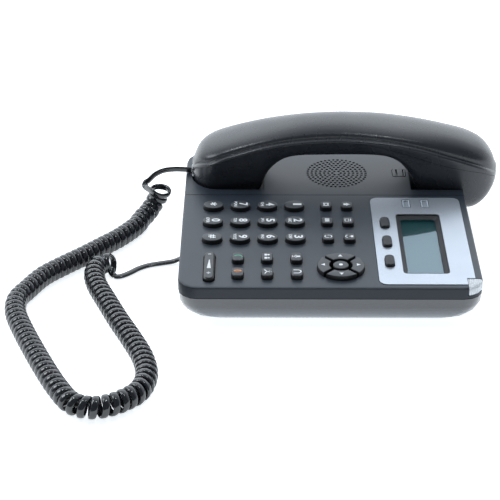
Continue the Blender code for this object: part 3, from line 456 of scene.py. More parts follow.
def curve_through(points):
    """A smooth height over Y through a few points: cubic pieces with slopes from the neighbours."""
    ys = [p[0] * MM for p in points]
    zs = [p[1] * MM for p in points]
    slopes = []
    for i in range(len(ys)):
        a, b = max(i - 1, 0), min(i + 1, len(ys) - 1)
        slopes.append((zs[b] - zs[a]) / (ys[b] - ys[a]))

    def height(y):
        y = min(max(y, ys[0]), ys[-1])
        i = max(k for k in range(len(ys) - 1) if ys[k] <= y)
        width = ys[i + 1] - ys[i]
        t = (y - ys[i]) / width
        return (
            (2 * t**3 - 3 * t**2 + 1) * zs[i] + (t**3 - 2 * t**2 + t) * width * slopes[i]
            + (-2 * t**3 + 3 * t**2) * zs[i + 1] + (t**3 - t**2) * width * slopes[i + 1]
        )

    return height


crown_z = curve_through(
    [(-91, 38), (-89, 44), (-85, 50.4), (-78, 54.4), (-68, 57.9), (-52, 62.6), (-33, 67.1), (-12, 70.5),
     (12, 71.6), (34, 70.5), (56, 68), (76, 65), (92, 61.6), (104, 57.8), (112, 53.8), (118, 47.2),
     (121.4, 40), (122.6, 34)]
)
parting_z = curve_through(
    [(-91, 35.5), (-86, 41.2), (-78, 45.8), (-66, 50.8), (-52, 55.3), (-34, 59.4), (-12, 61.9), (12, 63),
     (34, 61.4), (56, 55.8), (70, 51), (82, 47.2), (91, 45), (98, 43.6), (108, 41), (114, 37.8), (122.6, 30.6)]
)
lip_z = curve_through(
    [(-91, 35.5), (-86, 41.4), (-78, 46), (-70.5, 49.5), (-63.5, 52), (-56.5, 54.1), (-42.5, 57.9), (-28.6, 60.5),
     (-14.7, 62.2), (-0.8, 63.2), (13, 63.7), (27, 63.3), (41, 62.2), (55, 60), (69, 56.7), (83.5, 52.3),
     (97.7, 48), (106.3, 44.6), (114, 39.6), (122.6, 31)]
)
underside_z = curve_through(
    [(-91, 27), (-89.5, 22.4), (-87, 19.6), (-83, 18.4), (-60, 18.4), (-47.6, 18.4), (-45, 19), (-43.2, 22),
     (-41.6, 27.4), (-39.4, 33.7), (-36, 39.2), (-30.6, 44.9), (-24.4, 48.3), (-16, 49.8), (0, 50.1), (14, 50.4),
     (32, 50.9), (42, 50.6), (47.8, 48.8), (53.4, 45), (57.6, 39.8), (61, 34.1), (63.6, 28), (65.4, 23),
     (67.6, 20.1), (72, 18.4), (86, 13.2), (98, 8.8), (104, 8), (110, 10.4), (115.6, 15.6), (120, 23),
     (122.6, 29.4)]
)


def averaged(height, y, reach=2.0 * MM):
    return sum(height(y + reach * step / 2) for step in range(-2, 3)) / 5


def plan_half_width(y, inset=0.0):
    """Half the handset's width: a long shallow waist, and a round nose at each end."""
    waist = GRIP_WAIST * math.cos(math.pi / 2 * min(abs(y - GRIP_MIDDLE_Y) / GRIP_REACH, 1)) ** 2
    near_centre, far_centre = -72 * MM, 98 * MM
    if y < near_centre:
        share = (near_centre - y) / (near_centre - HANDSET_Y[0] + 0.1 * MM - inset)
    elif y > far_centre:
        share = (y - far_centre) / (HANDSET_Y[1] + 0.2 * MM - inset - far_centre)
    else:
        share = 0.0
    return (HANDSET_HALF_WIDTH - waist - inset) * math.sqrt(max(1 - share * share, 0.004))


def handset_ys(inset):
    """Stations along the handset, closer together at its ends."""
    middle, reach = sum(HANDSET_Y) / 2, (HANDSET_Y[1] - HANDSET_Y[0]) / 2 - inset
    return [middle - reach * math.cos(math.pi * i / HANDSET_STATIONS) for i in range(HANDSET_STATIONS + 1)]


def half_arch(half, height, power, count):
    """A quarter of a superellipse, from (half, 0) up to (0, height)."""
    points = []
    for i in range(count + 1):
        angle = math.pi / 2 * i / count
        points.append((half * math.cos(angle) ** (2 / power), height * math.sin(angle) ** (2 / power)))
    points[-1] = (0.0, height)
    return points


def lipped_arch(half, foot, height):
    """Half a section of the back: an upright foot, a soft lip, a hollow above it, and a dome."""
    foot = max(foot, 0.0)
    lip = min(LIP_HEIGHT, 0.5 * (height - foot))
    edge, inward = min(0.8 * lip, 0.25 * half), min(0.18 * lip, 0.08 * half)
    points = [(half, 0.0), (half, foot * 0.5)]
    for i in range(9):
        angle = math.pi / 2 * i / 8
        points.append((half - edge + edge * math.cos(angle), foot + 0.5 * lip * math.sin(angle)))
    for i in range(1, 9):
        angle = math.pi / 2 * i / 8
        points.append((half - edge - inward * math.sin(angle), foot + 0.75 * lip - 0.25 * lip * math.cos(angle)))
    start = foot + 0.75 * lip
    dome = half_arch(half - edge - inward, height - start, BACK_POWER, 24)
    return points + [(x, start + z) for x, z in dome[1:]]


def whole_ring(y, profile, base, sign, closing=None):
    """Both halves of a section at y, above (sign 1) or below (sign -1) the height `base`."""
    right = [Vector((HANDSET_X + x, y, base + sign * z)) for x, z in profile]
    left = [Vector((HANDSET_X - x, y, base + sign * z)) for x, z in reversed(profile[:-1])]
    ring = right + left
    if closing:
        ring += [Vector((HANDSET_X + side * profile[0][0], y, base - sign * closing)) for side in (-1, 1)]
    return ring


def back_rings(inset):
    rings = []
    for y in handset_ys(inset):
        base = averaged(parting_z, y) + 0.1 * MM
        top = min(averaged(crown_z, y + shift) for shift in (-inset, 0, inset)) - inset
        half, height = plan_half_width(y, inset), max(top - base, 0.6 * MM)
        if inset:
            inner = half - 1.6 * MM if half > 8 * MM else 0.6 * half
            rings.append(whole_ring(y, half_arch(inner, height, BACK_POWER, 12), base, 1, HOLLOW_PAST))
        else:
            rings.append(whole_ring(y, lipped_arch(half, averaged(lip_z, y) - base, height), base, 1))
    return rings


def face_rings(inset):
    rings = []
    for y in handset_ys(inset):
        base = averaged(parting_z, y) - 0.1 * MM
        deep = max(averaged(underside_z, y + shift, 0.8 * MM) for shift in (-inset, 0, inset)) + inset
        arch = half_arch(plan_half_width(y, inset), max(base - deep, 0.6 * MM), FACE_POWER, 18)
        rings.append(whole_ring(y, arch, base, -1, HOLLOW_PAST if inset else None))
    return rings


def rods(name, centres, direction, radius, length, sides=14):
    """Round rods about the given centres, all along one direction."""
    bm = bmesh.new()
    turn = Vector(direction).to_track_quat("Z", "Y").to_matrix().to_4x4()
    for centre in centres:
        bmesh.ops.create_cone(
            bm, cap_ends=True, segments=sides, radius1=radius, radius2=radius, depth=length,
            matrix=Matrix.Translation(centre) @ turn,
        )
    return mesh_of(bm, name)


def block(name, x, y, z):
    return prisms(name, [[(x[0], y[0]), (x[1], y[0]), (x[1], y[1]), (x[0], y[1])]], *z)


def joined(name, meshes):
    bm = bmesh.new()
    for mesh in meshes:
        bm.from_mesh(mesh)
    return mesh_of(bm, name)


def blocks(name, limits):
    return joined(name, [block(name, x, y, z) for x, y, z in limits])


def holes_in_rings(rings, spacing):
    """Points on rings `spacing` apart: six on the first, and six more on each next one."""
    points = []
    for ring in range(1, rings + 1):
        for i in range(6 * ring):
            angle = math.pi / 2 + 2 * math.pi * i / (6 * ring)
            points.append((ring * spacing * math.cos(angle), ring * spacing * math.sin(angle)))
    return points


def handset():
    hollow = loft("back_hollow", back_rings(HANDSET_WALL))
    back = solid("handset_back", loft("handset_back", back_rings(0)), cuts=[hollow])
    shown("handset_back", back, BACK, "handset", 50, ["handset_outer_shell"])

    x, ear_z = HANDSET_X, underside_z(EAR_Y)
    ear = [
        Vector((x + u, EAR_Y + v, ear_z + EAR_FACE_SLOPE * v)) for u, v in [(0, 0)] + holes_in_rings(2, 3.4 * MM)
    ]
    mouth = [Vector((x + u, MOUTH_Y + v, MOUTH_Z)) for u, v in [(0, 0)] + holes_in_rings(1, 2.6 * MM)]
    cuts = [
        loft("face_hollow", face_rings(HANDSET_WALL)),
        block("plug_hole", (x - 4.2 * MM, x + 4.2 * MM), (-96 * MM, -84 * MM), (27.6 * MM, 34.8 * MM)),
        rods("ear_holes", ear, (0, EAR_FACE_SLOPE, -1), 0.85 * MM, 9 * MM),
        rods("mouth_holes", mouth, (0, 0, 1), 0.6 * MM, 8 * MM),
    ]
    face = solid("handset_face", loft("handset_face", face_rings(0)), cuts=cuts)
    shown("handset_face", face, BACK, "handset", 40, ["handset_inner_shell"])

    for node, material in (("handset_microphone", STEEL), ("handset_receiver", PAPER)):
        refined(node, material, "handset", edge=0.3 * MM)


# --- casing --------------------------------------------------------------------------------

TAB_X = -64.0 * MM
TAB_GROOVES_Y = [(52.2 * MM, 53.2 * MM), (57.0 * MM, 57.7 * MM)]
GRILLE_PLACE = (-63.7 * MM, 10.5 * MM)
GRILLE_SPACING, GRILLE_RINGS, GRILLE_HOLE = 2.93 * MM, 7, 1.0 * MM
SCREW_SECTIONS = [(2.7, 1.9), (3.3, 2.15), (3.4, 2.5), (3.4, 2.75)]  # radius and height, millimetres
SCREW_PLACES = [(74 * MM, -70 * MM), (74 * MM, 76 * MM), (-34 * MM, -76 * MM), (-34 * MM, 46 * MM)]


def casing():
    refined("keypad_cover", PANEL, "base", edge=0.3 * MM)

    gx, gy = GRILLE_PLACE
    grille = [circle(gx + u, gy + v, GRILLE_HOLE) for u, v in holes_in_rings(GRILLE_RINGS, GRILLE_SPACING)]
    grille = prisms("grille", grille, 26 * MM, 30 * MM)
    refined("cradle_cover", PANEL, "base", cuts=[grille], edge=0.15 * MM)

    grooves = [((TAB_X - 6 * MM, TAB_X + 4.6 * MM), limits, (27.6 * MM, 31 * MM)) for limits in TAB_GROOVES_Y]
    grooves = blocks("tab_grooves", grooves)
    refined("handset_hook_tab", PANEL, "base", cuts=[grooves], edge=0.3 * MM, segments=3)

    slots = [rounded_rect(30 * MM, 2.2 * MM, 1.05 * MM, 4, (18 * MM, v * MM)) for v in range(-24, 25, 6)]
    recesses = [circle(sx, sy, 4 * MM, 28) for sx, sy in SCREW_PLACES]
    refined(
        "lower_shell", LOWER, "base", edge=0.35 * MM,
        cuts=[prisms("vent_slots", slots, 0, 5 * MM), prisms("screw_recesses", recesses, 0, 2.8 * MM)],
    )
    for number, (sx, sy) in enumerate(SCREW_PLACES, 1):
        head = [at_height(circle(sx, sy, r * MM, 28), z * MM) for r, z in SCREW_SECTIONS]
        arm, half = 2 * MM, 0.35 * MM
        plus = [
            (sx + i * a - j * b, sy + j * a + i * b) for i, j in ((1, 0), (0, 1), (-1, 0), (0, -1))
            for a, b in ((half, -half), (arm, -half), (arm, half))
        ]
        cross = prisms("cross", [plus], 1.5 * MM, 2.45 * MM)
        shown(f"case_screw_{number}", solid("screw", loft("screw", head), cuts=[cross]), STEEL, "base", 30)

    refined("message_light_lens", LENS, "base", edge=0.3 * MM, segments=3)
    for node in ("front_foot_strip", "rear_foot_strip"):
        refined(node, RUBBER, "base", edge=0.2 * MM)
    refined("hook_switch_plunger", SOCKET, "hook_plunger", edge=0.3 * MM, segments=3)
    refined("loudspeaker", PAPER, "base", edge=0.2 * MM)
    refined("keypad_mat", SILICONE, "base", edge=0.2 * MM)
    refined("main_circuit_board", BOARD, "base", edge=0.1 * MM)


# --- display -------------------------------------------------------------------------------

LINE_LIGHTS = [(-18.2 * MM, 56.0 * MM), (-18.2 * MM, 68.6 * MM)]
SCREEN_X = (-3.3 * MM, 75.2 * MM)
SCREEN_Y = (47.5 * MM, 77.1 * MM)


def display():
    refined("display_bezel", SILVER, "base", edge=0.3 * MM, segments=3)
    dips = [rounded_rect(9.4 * MM, 3.0 * MM, 0.9 * MM, 4, (lx + 0.9 * MM, ly)) for lx, ly in LINE_LIGHTS]
    dips = prisms("guide_dips", dips, 28.7 * MM, 31 * MM)
    refined("line_light_guide", FROST, "base", cuts=[dips], edge=0.2 * MM)
    # Painted highlights: thin light strips round the light guide's dips stand in for the bright glints on their
    # edges.
    highlight_strips = [
        strip([(lx / MM + u, ly / MM + v) for u, v in ((-4.8, -2), (4.9, -2), (4.9, 2), (-4.8, 2))], 0.75)
        for lx, ly in LINE_LIGHTS
    ]
    piece("line_light_painted_highlights", prisms("line_light_painted_highlights", highlight_strips, 29.2 * MM, 29.45 * MM), EDGE_HIGHLIGHT, "base")
    middle = (sum(SCREEN_X) / 2, sum(SCREEN_Y) / 2)
    size = (SCREEN_X[1] - SCREEN_X[0], SCREEN_Y[1] - SCREEN_Y[0])

    def surround(inset, z):
        return at_height(rounded_rect(size[0] - 2 * inset, size[1] - 2 * inset, 2.2 * MM, 4, middle), z)

    wall = [surround(2.8 * MM, 26.75 * MM), surround(0.15 * MM, 28.4 * MM), surround(0.15 * MM, 29.3 * MM),
            surround(0.7 * MM, 29.3 * MM), surround(0.7 * MM, 28.5 * MM), surround(3.3 * MM, 26.75 * MM)]
    piece("screen_surround", loft("screen_surround", wall, closed=True), WELL, "base", sharp=30)
    refined("display_window", GLASS, "base", edge=0.1 * MM)
    refined("lcd_module", LCD, "base", edge=0.2 * MM)


# --- keys ----------------------------------------------------------------------------------

KEY_TOP = 32.0 * MM
FLANGE_Z = (24.6 * MM, 26.3 * MM)
FLANGE_GROW = 0.9 * MM
PRINT = 0.05 * MM  # thickness of the legends
DIAL_SIZE = (11.3 * MM, 13.4 * MM)
DIAL_ROWS_X = [-12.0 * MM, 10.3 * MM, 32.4 * MM]
DIAL_COLUMNS_Y = [-75.0 * MM, -56.8 * MM, -38.6 * MM, -20.3 * MM]
DIAL = [
    [("star", "*", ""), ("7", "7", "PQRS"), ("4", "4", "GHI"), ("1", "1", "")],
    [("0", "0", "OPER"), ("8", "8", "TUV"), ("5", "5", "JKL"), ("2", "2", "ABC")],
    [("hash", "#", ""), ("9", "9", "WXYZ"), ("6", "6", "MNO"), ("3", "3", "DEF")],
]
CALL_SIZE = (10.4 * MM, 7.2 * MM)
CALL_ROWS_X = [58.2 * MM, 77.2 * MM]
CALL_COLUMNS_Y = [-57.8 * MM, -39.1 * MM, -20.2 * MM]
CALL = [["answer", "conference", "mute"], ["end", "transfer", "hold"]]
FEATURE_SIZE = (8.8 * MM, 7.2 * MM)
FEATURE_ROWS_X = [-12.0 * MM, 10.0 * MM, 32.0 * MM]
FEATURE_COLUMNS_Y = [1.2 * MM, 15.2 * MM]
FEATURE = [["menu", "speaker"], ["message", "phonebook"], ["redial", "headset"]]
VOLUME_SIZE = (34.6 * MM, 6.8 * MM)
VOLUME_PLACE = (68.0 * MM, -76.0 * MM)
VOLUME_TOP = 31.6 * MM
NAV_PLACE = (68.4 * MM, 7.9 * MM)
NAV_TOP = 32.0 * MM
NAV_OUTER, NAV_INNER, NAV_SPLIT = 15.0 * MM, 7.4 * MM, 2.2 * MM
NAV_BUTTON, NAV_MARKS = 5.1 * MM, 11.0 * MM  # radius of the centre button, and of the marks' circle
SOFT_SIZE = (13.0 * MM, 5.9 * MM)
SOFT_ROWS_X = [10.2 * MM, 35.4 * MM, 60.6 * MM]
SOFT_Y = 39.6 * MM
SOFT_TOP = 31.4 * MM


def cap_rings(outline, top, edge):
    """A key's sections: its flange, its side, and an edge rounded in four steps into a flat top."""
    rings = [at_height(outline(FLANGE_GROW), z) for z in FLANGE_Z]
    rings.append(at_height(outline(0), FLANGE_Z[1]))
    for step in range(5):
        angle = math.pi / 2 * step / 4
        rings.append(at_height(outline(-edge * (1 - math.cos(angle))), top - edge * (1 - math.sin(angle))))
    return rings


def cap(node, outline, place, top, body, edge=0.7 * MM, material=KEYS):
    mesh = loft(node + "_cap", cap_rings(outline, top, edge))
    piece(node + "_cap", mesh, material, body, (*place, 0), 40, [node])


def legend(name, mesh, place, top, body, material):
    """Raised print on a key's top."""
    piece(name + "_legend", mesh, material, body, (*place, top + 0.01 * MM), 30)


def text_mesh(name, text, height, width, centre, bold):
    """Letters from the built-in font, scaled to a given height and width about a centre."""
    data = bpy.data.curves.new(name, "FONT")
    data.body = text
    data.size = 1.0
    data.offset = bold
    data.resolution_u = 4
    data.extrude = 0.5
    obj = in_scene(name, data)
    graph = bpy.context.evaluated_depsgraph_get()
    graph.update()
    mesh = bpy.data.meshes.new_from_object(obj.evaluated_get(graph))
    bpy.data.objects.remove(obj, do_unlink=True)
    low = [min(v.co[k] for v in mesh.vertices) for k in range(3)]
    high = [max(v.co[k] for v in mesh.vertices) for k in range(3)]
    middle = Vector([(a + b) / 2 for a, b in zip(low, high)])
    shares = [size / (b - a) for size, a, b in zip((width, height, PRINT), low, high)]
    scale = Matrix.Diagonal((*shares, 1))
    mesh.transform(Matrix.Translation((centre[0], centre[1], PRINT / 2)) @ scale @ Matrix.Translation(-middle))
    return mesh


def dial_legend(name, text, letters):
    if text in "*#":
        size = 4.6 * MM if text == "*" else 4.8 * MM
        return text_mesh(name, text, size, size, (0.0, 0.0), 0.02)
    width, bold = (2.3 * MM, 0.005) if text == "1" else (4.1 * MM, 0.025)
    parts = [text_mesh(name, text, 5.8 * MM, width, (0.0, 2.0 * MM), bold)]
    if letters:
        width = 1.75 * MM * len(letters)
        parts.append(text_mesh(name + "_letters", letters, 2.2 * MM, width, (0.0, -3.3 * MM), 0.02))
    return joined(name, parts)


def strip(points, width):
    """The outline of a line of some width through points in millimetres."""
    spots = [Vector((x * MM, y * MM, 0)) for x, y in points]
    left, right = [], []
    for i, spot in enumerate(spots):
        before, after = spots[max(i - 1, 0)], spots[min(i + 1, len(spots) - 1)]
        ahead = (after - before).normalized()
        side = Vector((-ahead.y, ahead.x, 0)) * width * MM / 2
        left.append(spot + side)
        right.append(spot - side)
    return [(p.x, p.y) for p in right + left[::-1]]


def polygon(*points):
    return [(x * MM, y * MM) for x, y in points]


def dot(x, y, radius):
    return circle(x * MM, y * MM, radius * MM, 16)


def box(x, y, width, depth):
    return rounded_rect(width * MM, depth * MM, 0.15 * MM, 2, (x * MM, y * MM))


def arc(x, y, radius, start, end, count=10):
    turns = [math.radians(start + (end - start) * i / count) for i in range(count + 1)]
    return [(x + radius * math.cos(a), y + radius * math.sin(a)) for a in turns]


# Each icon as the user reads it: x to the right, y away from the user, in millimetres.
ICONS = {
    "answer": [strip(arc(1.6, 0.1, 3.0, 115, 230), 0.85), box(0.6, 2.6, 1.5, 1.0)],
    "end": [strip([(-0.2, -2.1), (-1.2, -1.7), (-1.5, 0), (-1.2, 1.7), (-0.2, 2.1)], 1.3), box(0.7, 0, 0.5, 2.6)],
    "conference": [dot(-2.0, 1.0, 0.85), box(-2.0, -0.8, 2.2, 1.7), dot(2.0, 1.0, 0.85), box(2.0, -0.8, 2.2, 1.7)],
    "transfer": [strip([(-2.4, -1.8), (0.2, -0.2), (2.6, -1.6)], 0.8), strip([(0.2, -0.2), (0.2, 2.3)], 0.8),
                 polygon((-1.1, 1.2), (1.5, 1.2), (0.2, 2.9))],
    "mute": [box(0, 1.1, 1.7, 2.6), strip(arc(0, 0.6, 1.7, 200, 340), 0.45),
             box(0, -1.9, 0.5, 1.4), box(0, -2.6, 2.2, 0.45)],
    "hold": [strip([(-1.9, -2.2), (-1.9, 0.6)] + arc(0, 0.6, 1.9, 180, 0) + [(1.9, -2.2)], 0.75)],
    "menu": [box(-1.5, 0, 0.9, 4.0), box(1.5, 0, 0.9, 4.0), box(0, 1.3, 2.6, 0.8), box(0, -1.3, 2.6, 0.8)],
    "speaker": [box(0, -1.2, 2.2, 2.0), box(0, 2.0, 0.7, 0.6),
                polygon((-2.2, -0.4), (2.2, -0.4), (0.5, 1.5), (-0.5, 1.5))],
    "message": [box(-1.2, 0, 1.6, 3.0), box(1.2, 0, 1.6, 3.0)],
    "phonebook": [strip([(-1.6, -2.0), (-1.6, 0.4), (1.6, 0.4), (1.6, -2.0)], 0.5),
                  box(0, 1.6, 3.4, 0.6), box(0, -2.1, 3.4, 0.5)],
    "redial": [strip([(-1.5, -0.6), (-1.5, 0.6)] + arc(0, 0.8, 1.5, 180, 20), 0.55),
               strip([(1.5, 0.6), (1.5, -0.6)] + arc(0, -0.8, 1.5, 360, 200), 0.55)],
    "headset": [strip(arc(0, -1.0, 1.7, 190, 350), 0.55), box(0, 1.6, 2.6, 1.6), box(0, 0.3, 0.6, 1.0)],
}
ICON_COLOURS = {"answer": GREEN, "end": ORANGE}


def growing(shape, size, *more):
    """The outline of a key's cap, as a function of how much it grows on each side."""
    return lambda grow: shape(size[0] + 2 * grow, size[1] + 2 * grow, *more)


def dial_keys():
    outline = growing(oval, DIAL_SIZE)
    for x, row in zip(DIAL_ROWS_X, DIAL):
        for y, (name, text, letters) in zip(DIAL_COLUMNS_Y, row):
            node = "key_" + name
            cap(node, outline, (x, y), KEY_TOP, node + "_body")
            legend(node, dial_legend(node + "_legend", text, letters), (x, y), KEY_TOP, node + "_body", WHITE)


def icon_keys(size, rows, columns, names):
    outline = growing(rounded_rect, size, 2.2 * MM)
    for x, row in zip(rows, names):
        for y, name in zip(columns, row):
            node = "key_" + name
            cap(node, outline, (x, y), KEY_TOP, node + "_body")
            mesh = prisms(node + "_legend", ICONS[name], 0, PRINT)
            legend(node, mesh, (x, y), KEY_TOP, node + "_body", ICON_COLOURS.get(name, WHITE))


def soft_keys():
    outline = growing(rounded_rect, SOFT_SIZE, 2.6 * MM)
    for number, x in enumerate(SOFT_ROWS_X, 1):
        cap(f"soft_key_{number}", outline, (x, SOFT_Y), SOFT_TOP, f"soft_key_{number}_body", material=SOFT)


def triangle(x, y, angle, size):
    """An equal-sided triangle that points along an angle."""
    turned = [angle + 2 * math.pi * i / 3 for i in range(3)]
    return [(x + size * math.cos(a), y + size * math.sin(a)) for a in turned]


def navigation_keys():
    quarters = {"nav_up": math.pi / 2, "nav_down": -math.pi / 2, "nav_left": math.pi, "nav_right": 0.0}
    for node, middle in quarters.items():
        def sector(grow, turn=middle):
            inner = min(grow, 0.0)
            return ring_sector(NAV_INNER - inner, NAV_OUTER + grow, turn, NAV_SPLIT - 2 * inner)

        cap(node, sector, NAV_PLACE, NAV_TOP, node + "_body", 0.6 * MM)
        mark = triangle(NAV_MARKS * math.cos(middle), NAV_MARKS * math.sin(middle), middle, 1.7 * MM)
        legend(node, prisms(node + "_legend", [mark], 0, PRINT), NAV_PLACE, NAV_TOP, node + "_body", WHITE)

    def round_outline(grow):
        return circle(0, 0, NAV_BUTTON + grow, 48)

    cap("nav_centre", round_outline, NAV_PLACE, NAV_TOP, "nav_centre_body", 0.8 * MM)
    mesh = prisms("nav_centre_legend", [dot(0, 0, 1.3)], 0, PRINT)
    legend("nav_centre", mesh, NAV_PLACE, NAV_TOP, "nav_centre_body", WHITE)


def volume_key():
    """The rocker keeps the CAD body's lower part; its top edge is rounded."""
    refined("volume_rocker", KEYS, "volume_key", edge=0.35 * MM, segments=3)
    wedge = polygon((-6, -0.25), (4.6, -1.5), (4.6, 1.1), (-6, 0.25))
    marks = [wedge, box(-13.2, 0, 0.6, 2.0), box(10.4, -0.2, 2.4, 0.7), box(10.4, -0.2, 0.7, 2.4)]
    mesh = prisms("volume_legend", marks, 0, PRINT)
    legend("volume", mesh, VOLUME_PLACE, VOLUME_TOP, "volume_key", WHITE)


# --- sockets and plugs ---------------------------------------------------------------------


CONTACT_SPACING, CONTACT_HALF = 1.02 * MM, 0.22 * MM


def contacts(name, x, y, z, count):
    """A row of spring contacts, side by side along X."""
    centres = [x + (i - (count - 1) / 2) * CONTACT_SPACING for i in range(count)]
    limits = [((centre - CONTACT_HALF, centre + CONTACT_HALF), y, z) for centre in centres]
    piece(name, blocks(name, limits), GOLD, "base")


def sockets():
    for node in ("network_socket_pair", "power_socket", "handset_cord_socket"):
        refined(node, SOCKET, "base", edge=0.2 * MM)
    for number, x in enumerate((27.75 * MM, 43.25 * MM), 1):
        contacts(f"network_contacts_{number}", x, (81.4 * MM, 90 * MM), (15.6 * MM, 16.1 * MM), 8)
    contacts("cord_contacts", 13 * MM, (-74 * MM, -70.2 * MM), (10.7 * MM, 11.2 * MM), 4)
    plug("base_cord_plug", 13 * MM, -85.3 * MM, 8 * MM, "base")
    plug("handset_cord_plug", HANDSET_X, -91.4 * MM, 31.2 * MM, "handset")


def plug(node, x, y, z, body):
    """A clear modular plug: the CAD node with a latch added above it."""
    latch = block(
        node + "_latch", (x - 1.6 * MM, x + 1.6 * MM), (y + 1.2 * MM, y + 9.6 * MM), (z + 3.0 * MM, z + 3.5 * MM)
    )
    refined(node, CLEAR, body, adds=[latch], edge=0.15 * MM)


handset()
casing()
display()
dial_keys()
icon_keys(CALL_SIZE, CALL_ROWS_X, CALL_COLUMNS_Y, CALL)
icon_keys(FEATURE_SIZE, FEATURE_ROWS_X, FEATURE_COLUMNS_Y, FEATURE)
soft_keys()
navigation_keys()
volume_key()
sockets()

# --- curly cord ----------------------------------------------------------------------------

CORD_WIDTH = 4.6 * MM
CORD_THICKNESS = 2.5 * MM
TURN_LEAN = math.tan(math.radians(-5))  # each turn's edge lies a little over the next one
COIL_RADIUS = 7.1 * MM  # outside
TURN_PITCH = 4.8 * MM
START_TURN = math.radians(42)
TURN_STEPS = 16
# How much wider the turns stand at the start, at the end and round the bend, and over what length.
START_OPENING, END_OPENING, BEND_OPENING = (0.4, 24 * MM), (1.0, 4.5 * MM), (0.16, 24 * MM)
LEAD_SPACING = 1.2 * MM  # between points along the two leads
JOIN = 4  # points of the coil's centreline that each lead's curve takes over

HANDSET_LEAD_ROUTE = [
    (-64, -92, 31.2), (-64, -97.5, 31.6), (-63.8, -104, 31.8), (-63.2, -111.5, 31),
    (-62, -117.6, 28.4), (-60.2, -121.9, 24.8), (-58, -124.2, 24), (-53.5, -123.6, 23),
]
COIL_ROUTE = [
    (-49.5, -113, 24.5), (-50.5, -114, 20.5), (-50.5, -116, 15.5), (-47.5, -119, 11.4),
    (-41.5, -122, 9.2), (-34.5, -126, 7.9), (-25, -129.5, 7.3), (-9.5, -139.5, 7.3),
    (2, -149.5, 7.3), (15.5, -161.5, 7.3), (28.5, -174, 7.3), (42.5, -186, 7.3),
    (59.5, -194.5, 7.3), (72, -199.5, 7.3), (88, -198.5, 7.3), (108, -191.5, 7.3),
    (131, -182, 7.3), (152.5, -172.5, 7.3), (171, -163.5, 7.3), (186, -154, 7.3),
    (191, -143, 7.3), (189, -132.5, 7.3), (183, -123, 7.3), (174, -115, 7.3), (158, -111.5, 7.3),
    (138.5, -115, 7.3), (117, -123.5, 7.3), (95.5, -133, 7.3), (74.5, -141.5, 7.3),
    (54.5, -149.5, 7.3), (41, -152.5, 7.3), (30.5, -151.5, 7.3), (25.5, -147, 7.3),
    (27, -141.5, 7.3),
]
BASE_LEAD_ROUTE = [
    (32.4, -139.8, 1.4), (32.6, -136.6, 1.35), (30, -132.6, 1.3), (26.6, -129, 1.3), (22, -124.6, 1.3),
    (17.8, -118, 1.3), (15.2, -109.5, 1.4), (13.6, -102, 1.9), (13, -96, 4.4), (13, -91, 7.2),
    (13, -88.5, 7.9), (13, -86, 8),
]


def smooth_route(points, spacing):
    """Points about `spacing` apart on a smooth curve through the given ones."""
    knots = [2 * points[0] - points[1]] + points + [2 * points[-1] - points[-2]]
    fine = []
    for a, b, c, d in zip(knots, knots[1:], knots[2:], knots[3:]):
        for step in range(24):
            t = step / 24
            fine.append(
                0.5 * (2 * b + (c - a) * t + (2 * a - 5 * b + 4 * c - d) * t**2 + (3 * b - a - 3 * c + d) * t**3)
            )
    fine.append(points[-1])
    total = sum((b - a).length for a, b in zip(fine, fine[1:]))
    count = max(round(total / spacing), 2)
    chosen, walked, index = [fine[0]], 0.0, 0
    for step in range(1, count):
        target = total * step / count
        while walked + (fine[index + 1] - fine[index]).length < target:
            walked += (fine[index + 1] - fine[index]).length
            index += 1
        chosen.append(fine[index].lerp(fine[index + 1], (target - walked) / (fine[index + 1] - fine[index]).length))
    return chosen + [fine[-1]]


def directions(points):
    ends = [points[0]] + points + [points[-1]]
    return [(b - a).normalized() for a, b in zip(ends, ends[2:])]


def turning_frames(axis):
    """Along, and two directions across, at each point of the coil's axis, without twist."""
    frames = []
    across = Vector((1, 0, 0))
    for along in directions(axis):
        across = (across - along * across.dot(along)).normalized()
        frames.append((along, across, along.cross(across)))
    return frames


def helix():
    """The coil's centreline, with the direction of the ribbon's width at each point."""
    axis = smooth_route([Vector(p) * MM for p in COIL_ROUTE], 0.5 * MM)
    frames = turning_frames(axis)
    total = sum((b - a).length for a, b in zip(axis, axis[1:]))
    spacing = total / (len(axis) - 1)

    furthest = max(range(len(axis)), key=lambda i: axis[i].x) * spacing

    def pitch(position, base):
        """The turns stand apart at both ends and round the sharpest bend."""
        bend = (position - furthest) / BEND_OPENING[1]
        wider = START_OPENING[0] * math.exp(-position / START_OPENING[1])
        wider += END_OPENING[0] * math.exp(-(total - position) / END_OPENING[1])
        wider += BEND_OPENING[0] * math.exp(-bend * bend)
        return base * (1 + wider + 0.1 * position / total)

    def turned_by(base):
        angle, position = 0.0, 0.0
        while position < total:
            angle += 2 * math.pi * 0.1 * MM / pitch(position, base)
            position += 0.1 * MM
        return angle

    # The coil ends low down on its inner side, so the pitch is a little adjusted to end there.
    end = Vector((0.45, 0.1, -0.89))
    wanted = math.atan2(end.dot(frames[-1][2]), end.dot(frames[-1][1]))
    whole = turned_by(TURN_PITCH)
    spare = (START_TURN - whole - wanted) % (2 * math.pi)
    base = TURN_PITCH * whole / (whole + spare)

    points, widths = [], []
    position, turn = 0.0, START_TURN
    while position < total:
        index = min(int(position / spacing), len(axis) - 2)
        centre = axis[index].lerp(axis[index + 1], position / spacing - index)
        along, across, high = frames[index]
        radius = (COIL_RADIUS - CORD_THICKNESS / 2) * (1 + 0.3 * math.exp(-position / (4 * MM)))
        outward = across * math.cos(turn) + high * math.sin(turn)
        points.append(centre + outward * radius)
        widths.append(along + outward * TURN_LEAN)
        turn -= 2 * math.pi / TURN_STEPS
        position += pitch(position, base) / TURN_STEPS
    return points, widths


